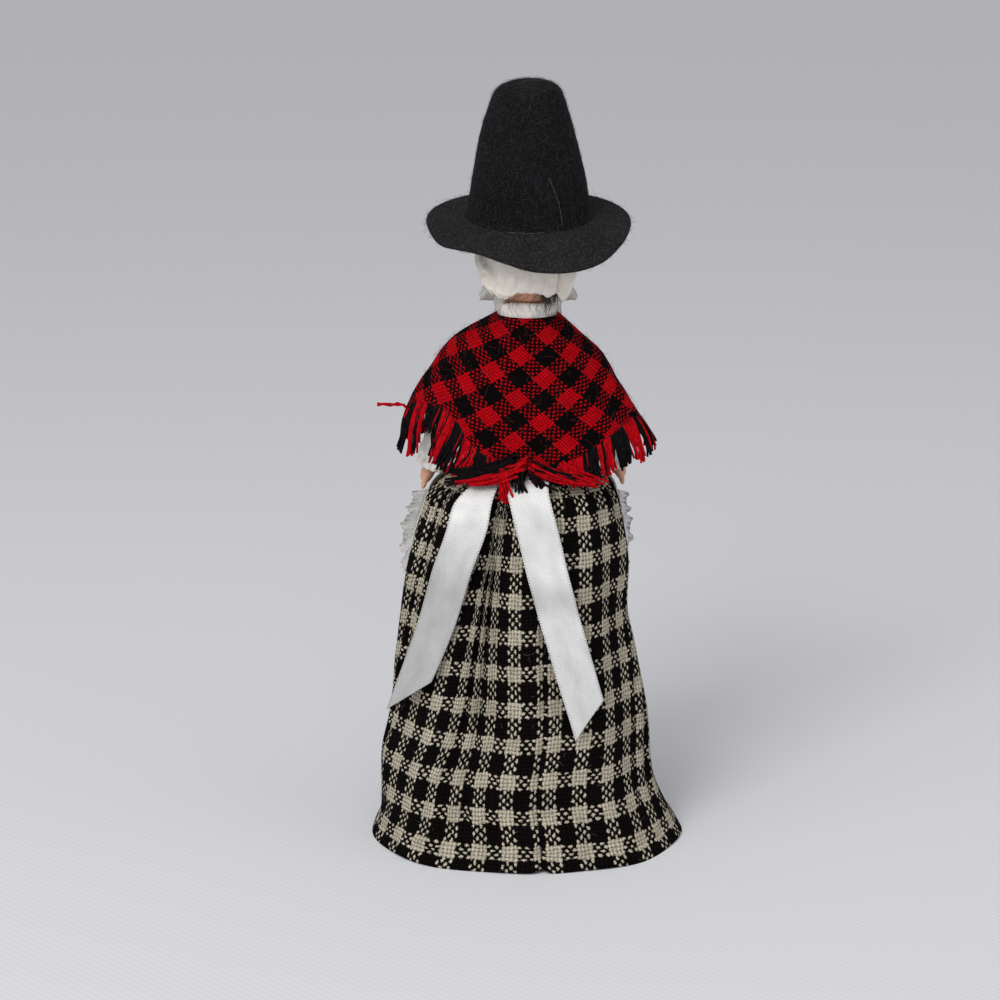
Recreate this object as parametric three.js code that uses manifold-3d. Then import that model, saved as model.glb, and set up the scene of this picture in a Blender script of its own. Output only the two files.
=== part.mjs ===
// A folk costume doll: a moulded hard plastic body with a turning head, swinging arms and sleeping
// eyes, dressed in a tall felt hat, frilled cap, blouse, fringed check shawl, check skirt, lace apron
// and satin sash. Millimetres, +Z up. The doll faces -Y, its left hand is at +X, and the origin is on
// the floor below its middle.
import * as THREE from "three";
import { mergeVertices } from "three/addons/utils/BufferGeometryUtils.js";
import Module from "manifold-3d";

const wasm = await Module();
wasm.setup();

// Gaps between pieces
const SEAT_GAP = 0.3; // a piece that lies on its neighbour
const GLUE_LINE = 0.2; // between the two halves of a moulding
const RUN_GAP = 0.3; // a piece that turns in its neighbour

// Moulded body, from the floor up
const LEG_LENGTH = 74; // floor to crotch
const WAIST_RISE = 30; // crotch to waist
const CHEST_RISE = 34; // waist to the neck seat
const ARM_DROP = 8.5; // neck seat down to the arm axis
const HIP_RISE = 11; // crotch to the widest part of the hips
const CHEST_DROP = 13; // arm axis down to the fullest part of the chest
const CROTCH_CURVE = 3; // how far the trunk rounds under between the legs
const BODY_WALL = 1.4;
const SHOULDER_HALF_WIDTH = 10.4;
const CHEST_HALF_DEPTH = 8.2;
const WAIST_HALF_WIDTH = 8.6;
const WAIST_HALF_DEPTH = 7;
const HIP_HALF_WIDTH = 11.4;
const HIP_HALF_DEPTH = 9;
const NECK_PAD_RADIUS = 7.9;
const LEG_SPREAD = 5.7; // middle of the body to the middle of a leg
const THIGH_RADIUS = 5.2;
const KNEE_RADIUS = 4.1;
const CALF_RADIUS = 4.4;
const ANKLE_RADIUS = 3;
const FOOT_LENGTH = 17;
const FOOT_HALF_WIDTH = 3.2;
const FOOT_HEIGHT = 6;
const HEEL_BACK = 4.6; // heel behind the middle of the leg

// Slip-on shoes
const SHOE_SOLE = 1.5;
const SHOE_WALL = 1;

// Arms and their stringing
const ARM_BALL_RADIUS = 3.8;
const ARM_BALL_OUT = 2.6; // arm seat to the middle of the shoulder ball
const ARM_LENGTH = 31.5; // shoulder ball to wrist
const HAND_LENGTH = 7.4;
const UPPER_ARM_RADIUS = 3.3;
const WRIST_RADIUS = 2.1;
const ARM_SPLAY = { left: 22, right: 18.5 }; // degrees out from the side
const ARM_FORWARD = { left: 2, right: 10 }; // degrees forward as stored
const ARM_BOSS_RADIUS = 4.4; // round seat for the arm on the side of the body
const CORD_RADIUS = 0.8;
const KNOT_RADIUS = 1.5;
const KNOT_CLEARANCE = 0.7; // room round the knot inside the shoulder ball
const KNOT_DRAW = 0.3; // the knots are drawn towards the body by this much

// Head and neck
const NECK_RADIUS = 4.7;
const NECK_BORE = 3.3;
const NECK_LENGTH = 6.5; // neck seat to the underside of the head
const NECK_FLANGE_RADIUS = 6;
const NECK_FLANGE_THICKNESS = 1.6;
const NECK_SOCKET = 2.5; // length of neck sunk in the bottom of the head
const HEAD_HALF_WIDTH = 9.9;
const HEAD_HALF_DEPTH = 11.5;
const HEAD_HALF_HEIGHT = 13.6;
const HEAD_WALL = 1.4;
const HEAD_SEAM_Y = 1.2;

// Sleeping eyes
const EYE_SPACING = 3.9; // middle of the face to the middle of an eye
const EYE_RADIUS = 2.6;
const EYE_BACK = 4.6; // front of the head oval to the eye axle
const EYE_RISE = 0.2;
const EYE_WIDTH = 4.4;
const EYE_HEIGHT = 2.9;
const WEIGHT_RADIUS = 1.7;
const WEIGHT_LENGTH = 6;
const WEIGHT_DROP = 6.4;
const WEIGHT_SET_BACK = 3.8;
const ROCKER_WIRE = 0.5; // radius of the rocker's arm
const ROCKER_BAR = 0.6; // radius of the bar between the eyes
const CRADLE_SET_BACK = 2; // eye axle to the front of the cradle
const CRADLE_THICKNESS = 2;
const CRADLE_HEIGHT = { above: 3, below: 1.6 }; // from the eye axle
const CRADLE_SLOT = 2.4; // width of the way for the rocker's arm
const CRADLE_SLOT_TOP = 1.6; // above the eye axle

// Hair, cap and frill
const WIG_THICKNESS = 1;
const CAP_CLOTH = 0.6;
const HAIRLINE_RISE = 5.8; // above the middle of the head, at the forehead
const CAP_SET_BACK = 1.2; // cap edge behind the hairline
const CAP_NAPE_DROP = 7.3; // below the middle of the head
const WIG_NAPE_DROP = 9.2;
const FACE_TILT = 20.8; // degrees that the face opening leans back
const FACE_OPENING_Y = -8.05; // the hairline in front of the middle of the head
const FRILL_WIDTH = 6.2;
const FRILL_RUFFLE = 0.8;
const FRILL_RUFFLES = 12;
const LACE_CLOTH = 0.45;

// Felt hat
const HAT_TIP_BACK = 7; // degrees
const HAT_RISE = 9.9; // brim above the middle of the head
const CROWN_BASE_RADIUS = 15.5;
const CROWN_TOP_RADIUS = 9.6;
const CROWN_HEIGHT = 33.6;
const CROWN_TOP_ROUND = 4.5;
const FELT = 1.2;
const BRIM_RADIUS = 26.4;
const BRIM_DROOP = 2;
const BRIM_BACK_DROOP = 4.2;

// Blouse
const COTTON = 0.6;
const BODICE_TUCK = 3; // how far the bodice is tucked in below the waist
const ARMHOLE_RADIUS = 7.2;
const COLLAR_HEIGHT = 5.4;
const COLLAR_CLEARANCE = 0.6; // neck to the inside of the neck band
const COLLAR_THICKNESS = 1.6; // folded cotton, at the seam
const SLEEVE_RADIUS = 4.6;
const CUFF_RISE = 0.9; // sleeve end above the wrist

// Skirt and petticoat
const SKIRT_CLOTH = 1.2;
const SKIRT_HIP_DROP = 27; // below the waist
const SKIRT_HIP_HALF_WIDTH = 29.2;
const SKIRT_HIP_HALF_DEPTH = 23.8;
const SKIRT_HEM_HALF_WIDTH = 40.8;
const SKIRT_HEM_HALF_DEPTH = 33;
const SKIRT_LEAN = 4.8; // the skirt hangs fuller on the doll's left
const FOLD_DEPTH = 1.8;
const FOLD_COUNT = 9;
const PETTICOAT_CLOTH = 0.7;
const PETTICOAT_SLACK = 1.6; // how far it hangs clear of the skirt
const PETTICOAT_LIFT = 6; // petticoat hem above the floor

// Apron and satin sash
const APRON_CLOTH = 0.5;
const APRON_HALF_ANGLE = 72; // degrees either side of the front
const APRON_TOP = 1.2; // below the waist
const APRON_LENGTH = 31;
const APRON_LACE_TOP = 12; // below the waist
const APRON_LACE_WIDTH = 6;
const APRON_RUFFLE = 0.6;
const APRON_RUFFLES = 38;
const SASH_WIDTH = 10.5;
const SASH_BELT_HEIGHT = 4.4;
const SASH_TOP = 2.2; // above the waist
const SATIN = 0.45;
const SASH_STAND_OFF = 0.8; // tails above the fold crests
const SASH_KNOT = { x: 4.2, y: 1.3, z: 2.1 }; // half sizes
const SASH_KNOT_LEFT = 5;
const SASH_TAIL_TOP = 3.4; // below the waist
const SASH_TAIL_DROP = { left: 59, right: 70 }; // at the edge nearer the middle
const SASH_CUT_SLANT = 0.95; // drop per width of the slanted ends
const SASH_TAIL_TURN = { left: [25, 42], right: [17, -26] }; // degrees round from the back, top and end
const SASH_CLING = { left: 0.3, right: 1 }; // share of its width that lies round the skirt

// Shawl
const SHAWL_CLOTH = 0.9;
const SHAWL_NECK_RISE = 3; // above the neck seat
const SHAWL_DEPTH = 41.3; // neck edge to the point at the back, with its fringe
const SHAWL_HALF_WIDTH = 31;
const SHAWL_HALF_DEPTH = 16.7;
const SHAWL_CROSSING = 15; // degrees that each end passes the front
const SHAWL_FOLD_DEPTH = 1;
const SHAWL_FOLDS = 7;
const SHAWL_LAP = 1.6; // the left end lies over the right one by this much

// Heights worked out from the sizes above
const CROTCH_Z = LEG_LENGTH;
const WAIST_Z = CROTCH_Z + WAIST_RISE;
const NECK_SEAT_Z = WAIST_Z + CHEST_RISE;
const ARM_AXIS_Z = NECK_SEAT_Z - ARM_DROP;
const ARM_SEAT_X = SHOULDER_HALF_WIDTH + SEAT_GAP;
const HEAD_Z = NECK_SEAT_Z + NECK_LENGTH + HEAD_HALF_HEIGHT - NECK_SOCKET;
const EYE_Y = EYE_BACK - HEAD_HALF_DEPTH;
const EYE_Z = HEAD_Z + EYE_RISE;

const RAD = Math.PI / 180;
const { lerp, smoothstep, clamp } = THREE.MathUtils;

// Finishes
function finish(color, roughness, metalness = 0) {
  return new THREE.MeshStandardMaterial({ color, roughness, metalness });
}

const skin = finish(0xd9a383, 0.42);
const shoeBlack = finish(0x17161a, 0.35);
const rubber = finish(0xb9a98c, 0.8);
const eyeWhite = finish(0xe9edf0, 0.15);
const castPlastic = finish(0xc8c4b8, 0.55);
const steel = finish(0x9a9a98, 0.35, 0.9);
const lead = finish(0x6d6f73, 0.6, 0.8);
const hair = finish(0x15110f, 0.7);
const whiteCotton = finish(0xe6e1d6, 0.85);
const lace = finish(0xe9e6dd, 0.8);
const blackFelt = finish(0x1b1b1d, 0.95);
const redCheck = finish(0x8c1117, 0.92);
const blackCheck = finish(0x5b574c, 0.92);
const satin = finish(0xe4e1de, 0.3);

// Geometry helpers

// A closed three.js geometry as a solid that can be joined and cut.
function solid(geometry) {
  const bare = geometry.index ? geometry.toNonIndexed() : geometry.clone();
  bare.deleteAttribute("normal");
  bare.deleteAttribute("uv");
  const merged = mergeVertices(bare, 1e-4);
  const corners = merged.index.array;
  const faces = [];
  for (let i = 0; i < corners.length; i += 3) {
    const [a, b, c] = [corners[i], corners[i + 1], corners[i + 2]];
    if (a !== b && b !== c && c !== a) faces.push(a, b, c);
  }
  const vertProperties = merged.attributes.position.array;
  return new wasm.Manifold(new wasm.Mesh({ numProp: 3, vertProperties, triVerts: new Uint32Array(faces) }));
}

// A solid as a three.js geometry.
function geometryOf(body) {
  const { numProp, numVert, vertProperties, triVerts } = body.getMesh();
  const positions = new Float32Array(numVert * 3);
  for (let i = 0; i < numVert; i++) {
    positions.set(vertProperties.subarray(i * numProp, i * numProp + 3), i * 3);
  }
  const geometry = new THREE.BufferGeometry();
  geometry.setAttribute("position", new THREE.BufferAttribute(positions, 3));
  geometry.setIndex(new THREE.BufferAttribute(triVerts, 1));
  return geometry;
}

// Points and triangles as a geometry whose faces point outwards.
function closedGeometry(points, triangles) {
  const signed = triangles.reduce((sum, [a, b, c]) => {
    const normal = new THREE.Vector3().crossVectors(points[b], points[c]);
    return sum + points[a].dot(normal);
  }, 0);
  const outward = signed < 0 ? triangles.map(([a, b, c]) => [a, c, b]) : triangles;
  const geometry = new THREE.BufferGeometry().setFromPoints(points);
  geometry.setIndex(outward.flat());
  return geometry;
}

// A closed skin through a stack of rings that have the same number of points, with a fan over each end.
function loft(rings) {
  const sides = rings[0].length;
  const points = rings.flat();
  const triangles = [];
  for (let row = 0; row + 1 < rings.length; row++) {
    for (let i = 0; i < sides; i++) {
      const next = (i + 1) % sides;
      const [a, b] = [row * sides + i, row * sides + next];
      triangles.push([a, b, b + sides], [a, b + sides, a + sides]);
    }
  }
  for (const [row, turned] of [[0, true], [rings.length - 1, false]]) {
    const middle = rings[row].reduce((sum, p) => sum.add(p), new THREE.Vector3()).divideScalar(sides);
    const hub = points.push(middle) - 1;
    for (let i = 0; i < sides; i++) {
      const [a, b] = [row * sides + i, row * sides + ((i + 1) % sides)];
      triangles.push(turned ? [hub, b, a] : [hub, a, b]);
    }
  }
  return closedGeometry(points, triangles);
}

// A level oval ring.
function oval(sides, halfWidth, halfDepth, z, x = 0, y = 0) {
  return Array.from({ length: sides }, (_, i) => {
    const turn = (2 * Math.PI * i) / sides;
    return new THREE.Vector3(x + halfWidth * Math.cos(turn), y + halfDepth * Math.sin(turn), z);
  });
}

// A smooth function through stations given as [place, value, value, ...], places rising.
function through(stations) {
  const places = stations.map(([place]) => place);
  const width = stations[0].length - 1;
  const curve = new THREE.CubicInterpolant(places, stations.flatMap((s) => s.slice(1)), width);
  return (place) => Array.from(curve.evaluate(clamp(place, places[0], places.at(-1))));
}

// A surface at(u, v) moved off itself by a distance along its outward normal.
function raised(at, distance) {
  const step = 1e-3;
  return (u, v) => {
    const along = at(u + step, v).sub(at(u - step, v));
    const down = at(u, v + step).sub(at(u, v - step));
    return at(u, v).addScaledVector(along.cross(down).normalize(), distance);
  };
}

// A sheet of cloth as a closed solid: at(u, v) is its outer face, and the cloth lies inside it.
// uSteps and vSteps are the places sampled. A wrapped sheet joins up with itself along u.
function cloth(at, uSteps, vSteps, thickness, wrapped = false) {
  const sample = (face) => vSteps.flatMap((v) => uSteps.map((u) => face(u, v)));
  const outer = sample(at);
  const inner = sample(raised(at, -thickness));
  const columns = uSteps.length;
  const rows = vSteps.length;
  const points = [...outer, ...inner];
  const under = outer.length;
  const triangles = [];
  const quad = (a, b, c, d) => triangles.push([a, b, c], [a, c, d]);
  const spans = wrapped ? columns : columns - 1;
  for (let i = 0; i < spans; i++) {
    const next = (i + 1) % columns;
    for (let row = 0; row + 1 < rows; row++) {
      const [a, b] = [row * columns + i, row * columns + next];
      quad(a, b, b + columns, a + columns);
      quad(under + b, under + a, under + a + columns, under + b + columns);
    }
    const last = (rows - 1) * columns;
    quad(next, i, under + i, under + next);
    quad(last + i, last + next, under + last + next, under + last + i);
  }
  if (!wrapped) {
    for (let row = 0; row + 1 < rows; row++) {
      const first = row * columns;
      const last = first + columns - 1;
      quad(first, first + columns, under + first + columns, under + first);
      quad(last + columns, last, under + last, under + last + columns);
    }
  }
  return closedGeometry(points, triangles);
}

const steps = (from, to, count) => Array.from({ length: count + 1 }, (_, i) => lerp(from, to, i / count));
const fullTurn = (count) => steps(0, 2 * Math.PI, count).slice(0, -1);

function box(low, high) {
  const size = high.map((h, i) => h - low[i]);
  return new THREE.BoxGeometry(...size).translate(...high.map((h, i) => (h + low[i]) / 2));
}

function ball(radius, [x, y, z], detail = 16) {
  return new THREE.SphereGeometry(radius, detail, detail / 2 + 2).translate(x, y, z);
}

// A rod along X, Y or Z between two places on that axis.
function rod(axis, radius, from, to, sides = 20) {
  const made = new THREE.CylinderGeometry(radius, radius, to - from, sides).translate(0, (from + to) / 2, 0);
  if (axis === "x") made.rotateZ(-Math.PI / 2);
  if (axis === "z") made.rotateX(Math.PI / 2);
  return made;
}

// A lathe turned about Z, from [radius, z] points.
function turned(profile, sides) {
  const points = profile.map(([r, z]) => new THREE.Vector2(r, z));
  return new THREE.LatheGeometry(points, sides).rotateX(Math.PI / 2);
}

const join = (bodies) => bodies.reduce((all, one) => all.add(one));
const FAR = 300; // larger than the doll, for cutting away one side

const doll = new THREE.Group();
function addPiece(name, shape, material, parent = doll) {
  const piece = new THREE.Mesh(shape.isBufferGeometry ? shape : geometryOf(shape), material);
  piece.name = name;
  parent.add(piece);
  return piece;
}

// Torso and legs: two hollow halves, front and back, glued round the neck flange and the arm cord

const TORSO_SIDES = 12;
const LEG_SIDES = 8;
const TRUNK_LOW_Z = CROTCH_Z - CROTCH_CURVE;
const torsoOval = through([
  [TRUNK_LOW_Z, HIP_HALF_WIDTH - 4.9, HIP_HALF_DEPTH - 4.5],
  [CROTCH_Z, HIP_HALF_WIDTH - 1.2, HIP_HALF_DEPTH - 1.4],
  [CROTCH_Z + HIP_RISE, HIP_HALF_WIDTH, HIP_HALF_DEPTH],
  [WAIST_Z, WAIST_HALF_WIDTH, WAIST_HALF_DEPTH],
  [ARM_AXIS_Z - CHEST_DROP, SHOULDER_HALF_WIDTH - 1.6, CHEST_HALF_DEPTH],
  [ARM_AXIS_Z - 2, SHOULDER_HALF_WIDTH, CHEST_HALF_DEPTH],
  [NECK_SEAT_Z - 3, NECK_PAD_RADIUS + 1.2, NECK_PAD_RADIUS],
  [NECK_SEAT_Z, NECK_PAD_RADIUS, NECK_PAD_RADIUS - 0.4],
]);

// Every layer over the body is sampled at the same heights, so that layers keep their distance.
function levelsBetween(levels, low, high) {
  return [low, ...levels.filter((z) => z > low + 1 && z < high - 1), high];
}
const trunkLevels = steps(TRUNK_LOW_Z, NECK_SEAT_Z, 9);

// The trunk grown or shrunk by an even amount, between two heights.
function trunk(grow, low, high) {
  const rings = levelsBetween(trunkLevels, low, high).map((z) => {
    const [halfWidth, halfDepth] = torsoOval(z);
    return oval(TORSO_SIDES, halfWidth + grow, halfDepth + grow, z);
  });
  return solid(loft(rings));
}

const FOOT_FLOOR = SHOE_SOLE + SEAT_GAP; // underside of the moulded foot
const LEG_LOW_Z = FOOT_FLOOR + 3; // inside the foot
const LEG_TOP_Z = CROTCH_Z + 4; // inside the trunk
const legRadius = through([
  [LEG_LOW_Z, ANKLE_RADIUS],
  [FOOT_FLOOR + 9, ANKLE_RADIUS],
  [LEG_LENGTH * 0.34, CALF_RADIUS],
  [LEG_LENGTH * 0.52, KNEE_RADIUS],
  [CROTCH_Z - 6, THIGH_RADIUS],
  [LEG_TOP_Z, THIGH_RADIUS],
]);

const legLevels = steps(LEG_LOW_Z, LEG_TOP_Z, 6);
function leg(side, grow, low = LEG_LOW_Z) {
  const rings = levelsBetween(legLevels, low, LEG_TOP_Z).map((z) => {
    const [radius] = legRadius(z);
    return oval(LEG_SIDES, radius + grow, radius + grow, z, side * LEG_SPREAD);
  });
  return solid(loft(rings));
}

// The foot is an oval wedge, higher at the heel than at the toes.
function foot(side, grow) {
  const rings = steps(0, 1, 5).map((share) => {
    const y = lerp(HEEL_BACK + grow, HEEL_BACK - FOOT_LENGTH - grow, share);
    const taper = Math.sqrt(Math.max(0, 1 - (2 * share - 1) ** 4)) * 0.92 + 0.08;
    const height = lerp(FOOT_HEIGHT, FOOT_HEIGHT * 0.55, share);
    const halfWidth = (FOOT_HALF_WIDTH + grow) * taper;
    return oval(LEG_SIDES, halfWidth, height / 2 + grow, 0).map(
      (p) => new THREE.Vector3(side * LEG_SPREAD + p.x, y, FOOT_FLOOR + height / 2 + p.y * taper),
    );
  });
  return solid(loft(rings));
}

const below = (z) => solid(box([-FAR, -FAR, -FAR], [FAR, FAR, z]));
const above = (z) => solid(box([-FAR, -FAR, z], [FAR, FAR, FAR]));
const flatFoot = (side, grow) => foot(side, grow).subtract(below(FOOT_FLOOR - grow));

function makeBody() {
  const sides = [-1, 1];
  const armBoss = solid(rod("x", ARM_BOSS_RADIUS, -SHOULDER_HALF_WIDTH, SHOULDER_HALF_WIDTH));
  const legs = sides.flatMap((side) => [leg(side, 0), flatFoot(side, 0)]);
  const outside = join([
    trunk(0, TRUNK_LOW_Z, NECK_SEAT_Z),
    armBoss.translate([0, 0, ARM_AXIS_Z]),
    ...legs,
  ]);
  const hollow = join([
    trunk(-BODY_WALL, TRUNK_LOW_Z + BODY_WALL, NECK_SEAT_Z - BODY_WALL),
    ...sides.map((side) => leg(side, -BODY_WALL, FOOT_FLOOR + 8)),
  ]);
  const neckHole = solid(rod("z", NECK_RADIUS + RUN_GAP, NECK_SEAT_Z - 4, NECK_SEAT_Z + 1));
  const cordHole = solid(rod("x", CORD_RADIUS + RUN_GAP, -SHOULDER_HALF_WIDTH - 1, SHOULDER_HALF_WIDTH + 1));
  const flangeTop = NECK_SEAT_Z - BODY_WALL;
  const flangeLow = flangeTop - NECK_FLANGE_THICKNESS - 2 * RUN_GAP;
  const flangeRoom = solid(rod("z", NECK_FLANGE_RADIUS + RUN_GAP, flangeLow, flangeTop, 28));
  const shell = outside
    .subtract(hollow)
    .subtract(neckHole)
    .subtract(cordHole.translate([0, 0, ARM_AXIS_Z]))
    .subtract(flangeRoom);
  const frontSide = solid(box([-FAR, -FAR, -FAR], [FAR, -GLUE_LINE / 2, FAR]));
  const backSide = solid(box([-FAR, GLUE_LINE / 2, -FAR], [FAR, FAR, FAR]));
  addPiece("torso_front", shell.intersect(frontSide), skin);
  addPiece("torso_back", shell.intersect(backSide), skin);
}
makeBody();

// Shoes: thin moulded slip-ons, open over the instep, with a flat sole
function makeShoe(name, side) {
  const outer = foot(side, SEAT_GAP + SHOE_WALL).subtract(below(0));
  const flat = { depth: SHOE_SOLE, bevelEnabled: false, curveSegments: 7 };
  const sole = solid(new THREE.ExtrudeGeometry(soleOutline(side), flat));
  const opening = solid(
    new THREE.CylinderGeometry(FOOT_HALF_WIDTH + 0.4, FOOT_HALF_WIDTH + 0.4, FOOT_HEIGHT, 12)
      .scale(1, 1, 1.5)
      .rotateX(Math.PI / 2)
      .translate(side * LEG_SPREAD, HEEL_BACK - FOOT_LENGTH * 0.36, FOOT_FLOOR + FOOT_HEIGHT),
  );
  const rim = above(FOOT_FLOOR + FOOT_HEIGHT * 0.95);
  const room = join([flatFoot(side, SEAT_GAP), leg(side, SEAT_GAP)]);
  addPiece(name, outer.add(sole).subtract(room).subtract(opening).subtract(rim), shoeBlack);
}

function soleOutline(side) {
  const outline = new THREE.Shape();
  const halfLength = FOOT_LENGTH / 2 + SEAT_GAP + SHOE_WALL;
  const halfWidth = FOOT_HALF_WIDTH + SEAT_GAP + SHOE_WALL;
  outline.absellipse(side * LEG_SPREAD, HEEL_BACK - FOOT_LENGTH / 2, halfWidth, halfLength, 0, 2 * Math.PI);
  return outline;
}
makeShoe("shoe_left", 1);
makeShoe("shoe_right", -1);

// Arms: hollow-shouldered mouldings strung on one knotted elastic cord that runs through the body
const ARM_SIDES = 8;
const BALL_X = ARM_SEAT_X + ARM_BALL_OUT;
const CORD_SEAT_X = BALL_X - KNOT_DRAW;

// Turns a limb that hangs down from the origin to its place at one shoulder.
function toShoulder(body, side) {
  const which = side > 0 ? "left" : "right";
  return body
    .rotate([0, -side * ARM_SPLAY[which], 0])
    .rotate([-ARM_FORWARD[which], 0, 0])
    .translate([side * BALL_X, 0, ARM_AXIS_Z]);
}

// Everything further out than a distance from the middle, on one side.
function outwardOf(x, side) {
  const right = solid(box([x, -FAR, -FAR], [FAR, FAR, FAR]));
  return side > 0 ? right : right.mirror([1, 0, 0]);
}

const armOval = through([
  [0, ARM_BALL_RADIUS - 0.4, ARM_BALL_RADIUS - 0.4, 0],
  [5, UPPER_ARM_RADIUS + 0.2, UPPER_ARM_RADIUS + 0.3, 0],
  [ARM_LENGTH * 0.5, UPPER_ARM_RADIUS - 0.4, UPPER_ARM_RADIUS - 0.4, 0.3],
  [ARM_LENGTH * 0.68, UPPER_ARM_RADIUS - 0.5, UPPER_ARM_RADIUS - 0.2, -0.3],
  [ARM_LENGTH, WRIST_RADIUS - 0.3, WRIST_RADIUS, -1.6],
  [ARM_LENGTH + HAND_LENGTH * 0.4, 1.5, 2.8, -1.9],
  [ARM_LENGTH + HAND_LENGTH * 0.85, 1.1, 2.2, -2.6],
  [ARM_LENGTH + HAND_LENGTH, 0.5, 0.9, -2.8],
]);

function armBody(side) {
  const reach = ARM_LENGTH + HAND_LENGTH;
  const rings = steps(0, reach, 10).map((down) => {
    const [thick, broad, y] = armOval(down);
    return oval(ARM_SIDES, thick, broad, -down, 0, y);
  });
  const thumb = new THREE.SphereGeometry(1, 8, 6)
    .scale(0.85, 0.95, 2.3)
    .rotateX(-0.5)
    .translate(-side * 0.9, -4.1, -(ARM_LENGTH + HAND_LENGTH * 0.36));
  const limb = join([solid(loft(rings)), solid(ball(ARM_BALL_RADIUS, [0, 0, 0], 10)), solid(thumb)]);
  return toShoulder(limb, side).intersect(outwardOf(ARM_SEAT_X, side));
}

function makeArm(name, side) {
  const hole = solid(rod("x", CORD_RADIUS + RUN_GAP, ARM_SEAT_X - 1, BALL_X)).translate([0, 0, ARM_AXIS_Z]);
  const drilled = side > 0 ? hole : hole.mirror([1, 0, 0]);
  const room = solid(ball(KNOT_RADIUS + KNOT_CLEARANCE, [side * BALL_X, 0, ARM_AXIS_Z], 10));
  addPiece(name, armBody(side).subtract(drilled).subtract(room), skin);
}
makeArm("arm_left", 1);
makeArm("arm_right", -1);

function makeArmCord() {
  const cord = solid(rod("x", CORD_RADIUS, -CORD_SEAT_X, CORD_SEAT_X, 8)).translate([0, 0, ARM_AXIS_Z]);
  const knots = [-1, 1].map((side) => solid(ball(KNOT_RADIUS, [side * CORD_SEAT_X, 0, ARM_AXIS_Z], 8)));
  addPiece("arm_elastic", join([cord, ...knots]), rubber);
}
makeArmCord();

// Head: two hollow halves, face and back, with the neck and its retaining flange moulded on

// Bumps of the face, as [across, up, height, spread across, spread up].
const FACE_BUMPS = [
  [0, -1.6, 1.5, 1.1, 2.2], // nose
  [0, -2.6, 0.7, 1.4, 1], // nose tip
  [4.6, -4.2, 0.8, 2.6, 2.4], // cheeks
  [-4.6, -4.2, 0.8, 2.6, 2.4],
  [0, -5.9, 0.55, 2, 0.8], // upper lip
  [0, -7.3, 0.5, 1.7, 0.7], // lower lip
  [0, -10, 1, 2.2, 1.6], // chin
  [3.9, 0.3, -0.35, 2, 1.5], // eye sockets
  [-3.9, 0.3, -0.35, 2, 1.5],
];

function headPoint(turn, lat) {
  const lon = turn - 0.45 * Math.sin(turn); // closer together on the face
  const down = Math.max(0, -Math.sin(lat));
  const jaw = 1 - 0.2 * smoothstep(down, 0.2, 1);
  const x = HEAD_HALF_WIDTH * jaw * Math.cos(lat) * Math.sin(lon);
  const y = -HEAD_HALF_DEPTH * jaw * Math.cos(lat) * Math.cos(lon);
  const z = HEAD_HALF_HEIGHT * Math.sin(lat);
  const facing = smoothstep(-y / HEAD_HALF_DEPTH, 0.1, 0.5);
  const relief = FACE_BUMPS.reduce((sum, [across, up, height, wide, tall]) => {
    return sum + height * Math.exp(-(((x - across) / wide) ** 2) - ((z - up) / tall) ** 2);
  }, 0);
  return new THREE.Vector3(x, y - facing * relief, HEAD_Z + z);
}

// A ball-shaped surface from a function of longitude and latitude, closed at both poles.
function globe(at, around, rows) {
  const rings = steps(-90, 90, rows)
    .slice(1, -1)
    .map((lat) => Array.from({ length: around }, (_, i) => at(((i * 360) / around) * RAD, lat * RAD)));
  return loft(rings);
}

const headOval = (grow) =>
  new THREE.SphereGeometry(1, 20, 12)
    .rotateX(Math.PI / 2)
    .scale(HEAD_HALF_WIDTH + grow, HEAD_HALF_DEPTH + grow, HEAD_HALF_HEIGHT + grow)
    .translate(0, 0, HEAD_Z);

function eyeOpening(side) {
  const almond = new THREE.Shape();
  const half = EYE_WIDTH / 2;
  almond.moveTo(-half, 0);
  almond.quadraticCurveTo(0, EYE_HEIGHT, half, 0);
  almond.quadraticCurveTo(0, -EYE_HEIGHT, -half, 0);
  const cut = { depth: HEAD_HALF_DEPTH, bevelEnabled: false, curveSegments: 6 };
  const cutter = new THREE.ExtrudeGeometry(almond, cut).rotateX(Math.PI / 2);
  return solid(cutter.translate(side * EYE_SPACING, EYE_Y, EYE_Z));
}

// Room for both eyeballs to turn in.
function eyeRooms() {
  const room = (x) => solid(ball(EYE_RADIUS + RUN_GAP, [x, EYE_Y, EYE_Z], 12));
  return room(EYE_SPACING).add(room(-EYE_SPACING));
}

function makeHead() {
  const flangeTop = NECK_SEAT_Z - BODY_WALL - RUN_GAP;
  const neck = solid(
    turned(
      [
        [NECK_BORE, flangeTop - NECK_FLANGE_THICKNESS],
        [NECK_FLANGE_RADIUS, flangeTop - NECK_FLANGE_THICKNESS],
        [NECK_FLANGE_RADIUS, flangeTop],
        [NECK_RADIUS, flangeTop],
        [NECK_RADIUS, HEAD_Z - HEAD_HALF_HEIGHT + 4],
        [NECK_BORE, HEAD_Z - HEAD_HALF_HEIGHT + 4],
        [NECK_BORE, flangeTop - NECK_FLANGE_THICKNESS],
      ],
      28,
    ),
  );
  const neckBore = solid(rod("z", NECK_BORE, flangeTop - 4, HEAD_Z - 4));
  const shell = solid(globe(headPoint, 26, 16))
    .add(neck)
    .subtract(solid(headOval(-HEAD_WALL)))
    .subtract(neckBore)
    .subtract(join([eyeRooms(), eyeOpening(1), eyeOpening(-1)]));
  const faceSide = solid(box([-FAR, -FAR, -FAR], [FAR, HEAD_SEAM_Y - GLUE_LINE / 2, FAR]));
  const backSide = solid(box([-FAR, HEAD_SEAM_Y + GLUE_LINE / 2, -FAR], [FAR, FAR, FAR]));
  addPiece("head_front", shell.intersect(faceSide), skin);
  addPiece("head_back", shell.intersect(backSide), skin);
}
makeHead();

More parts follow.
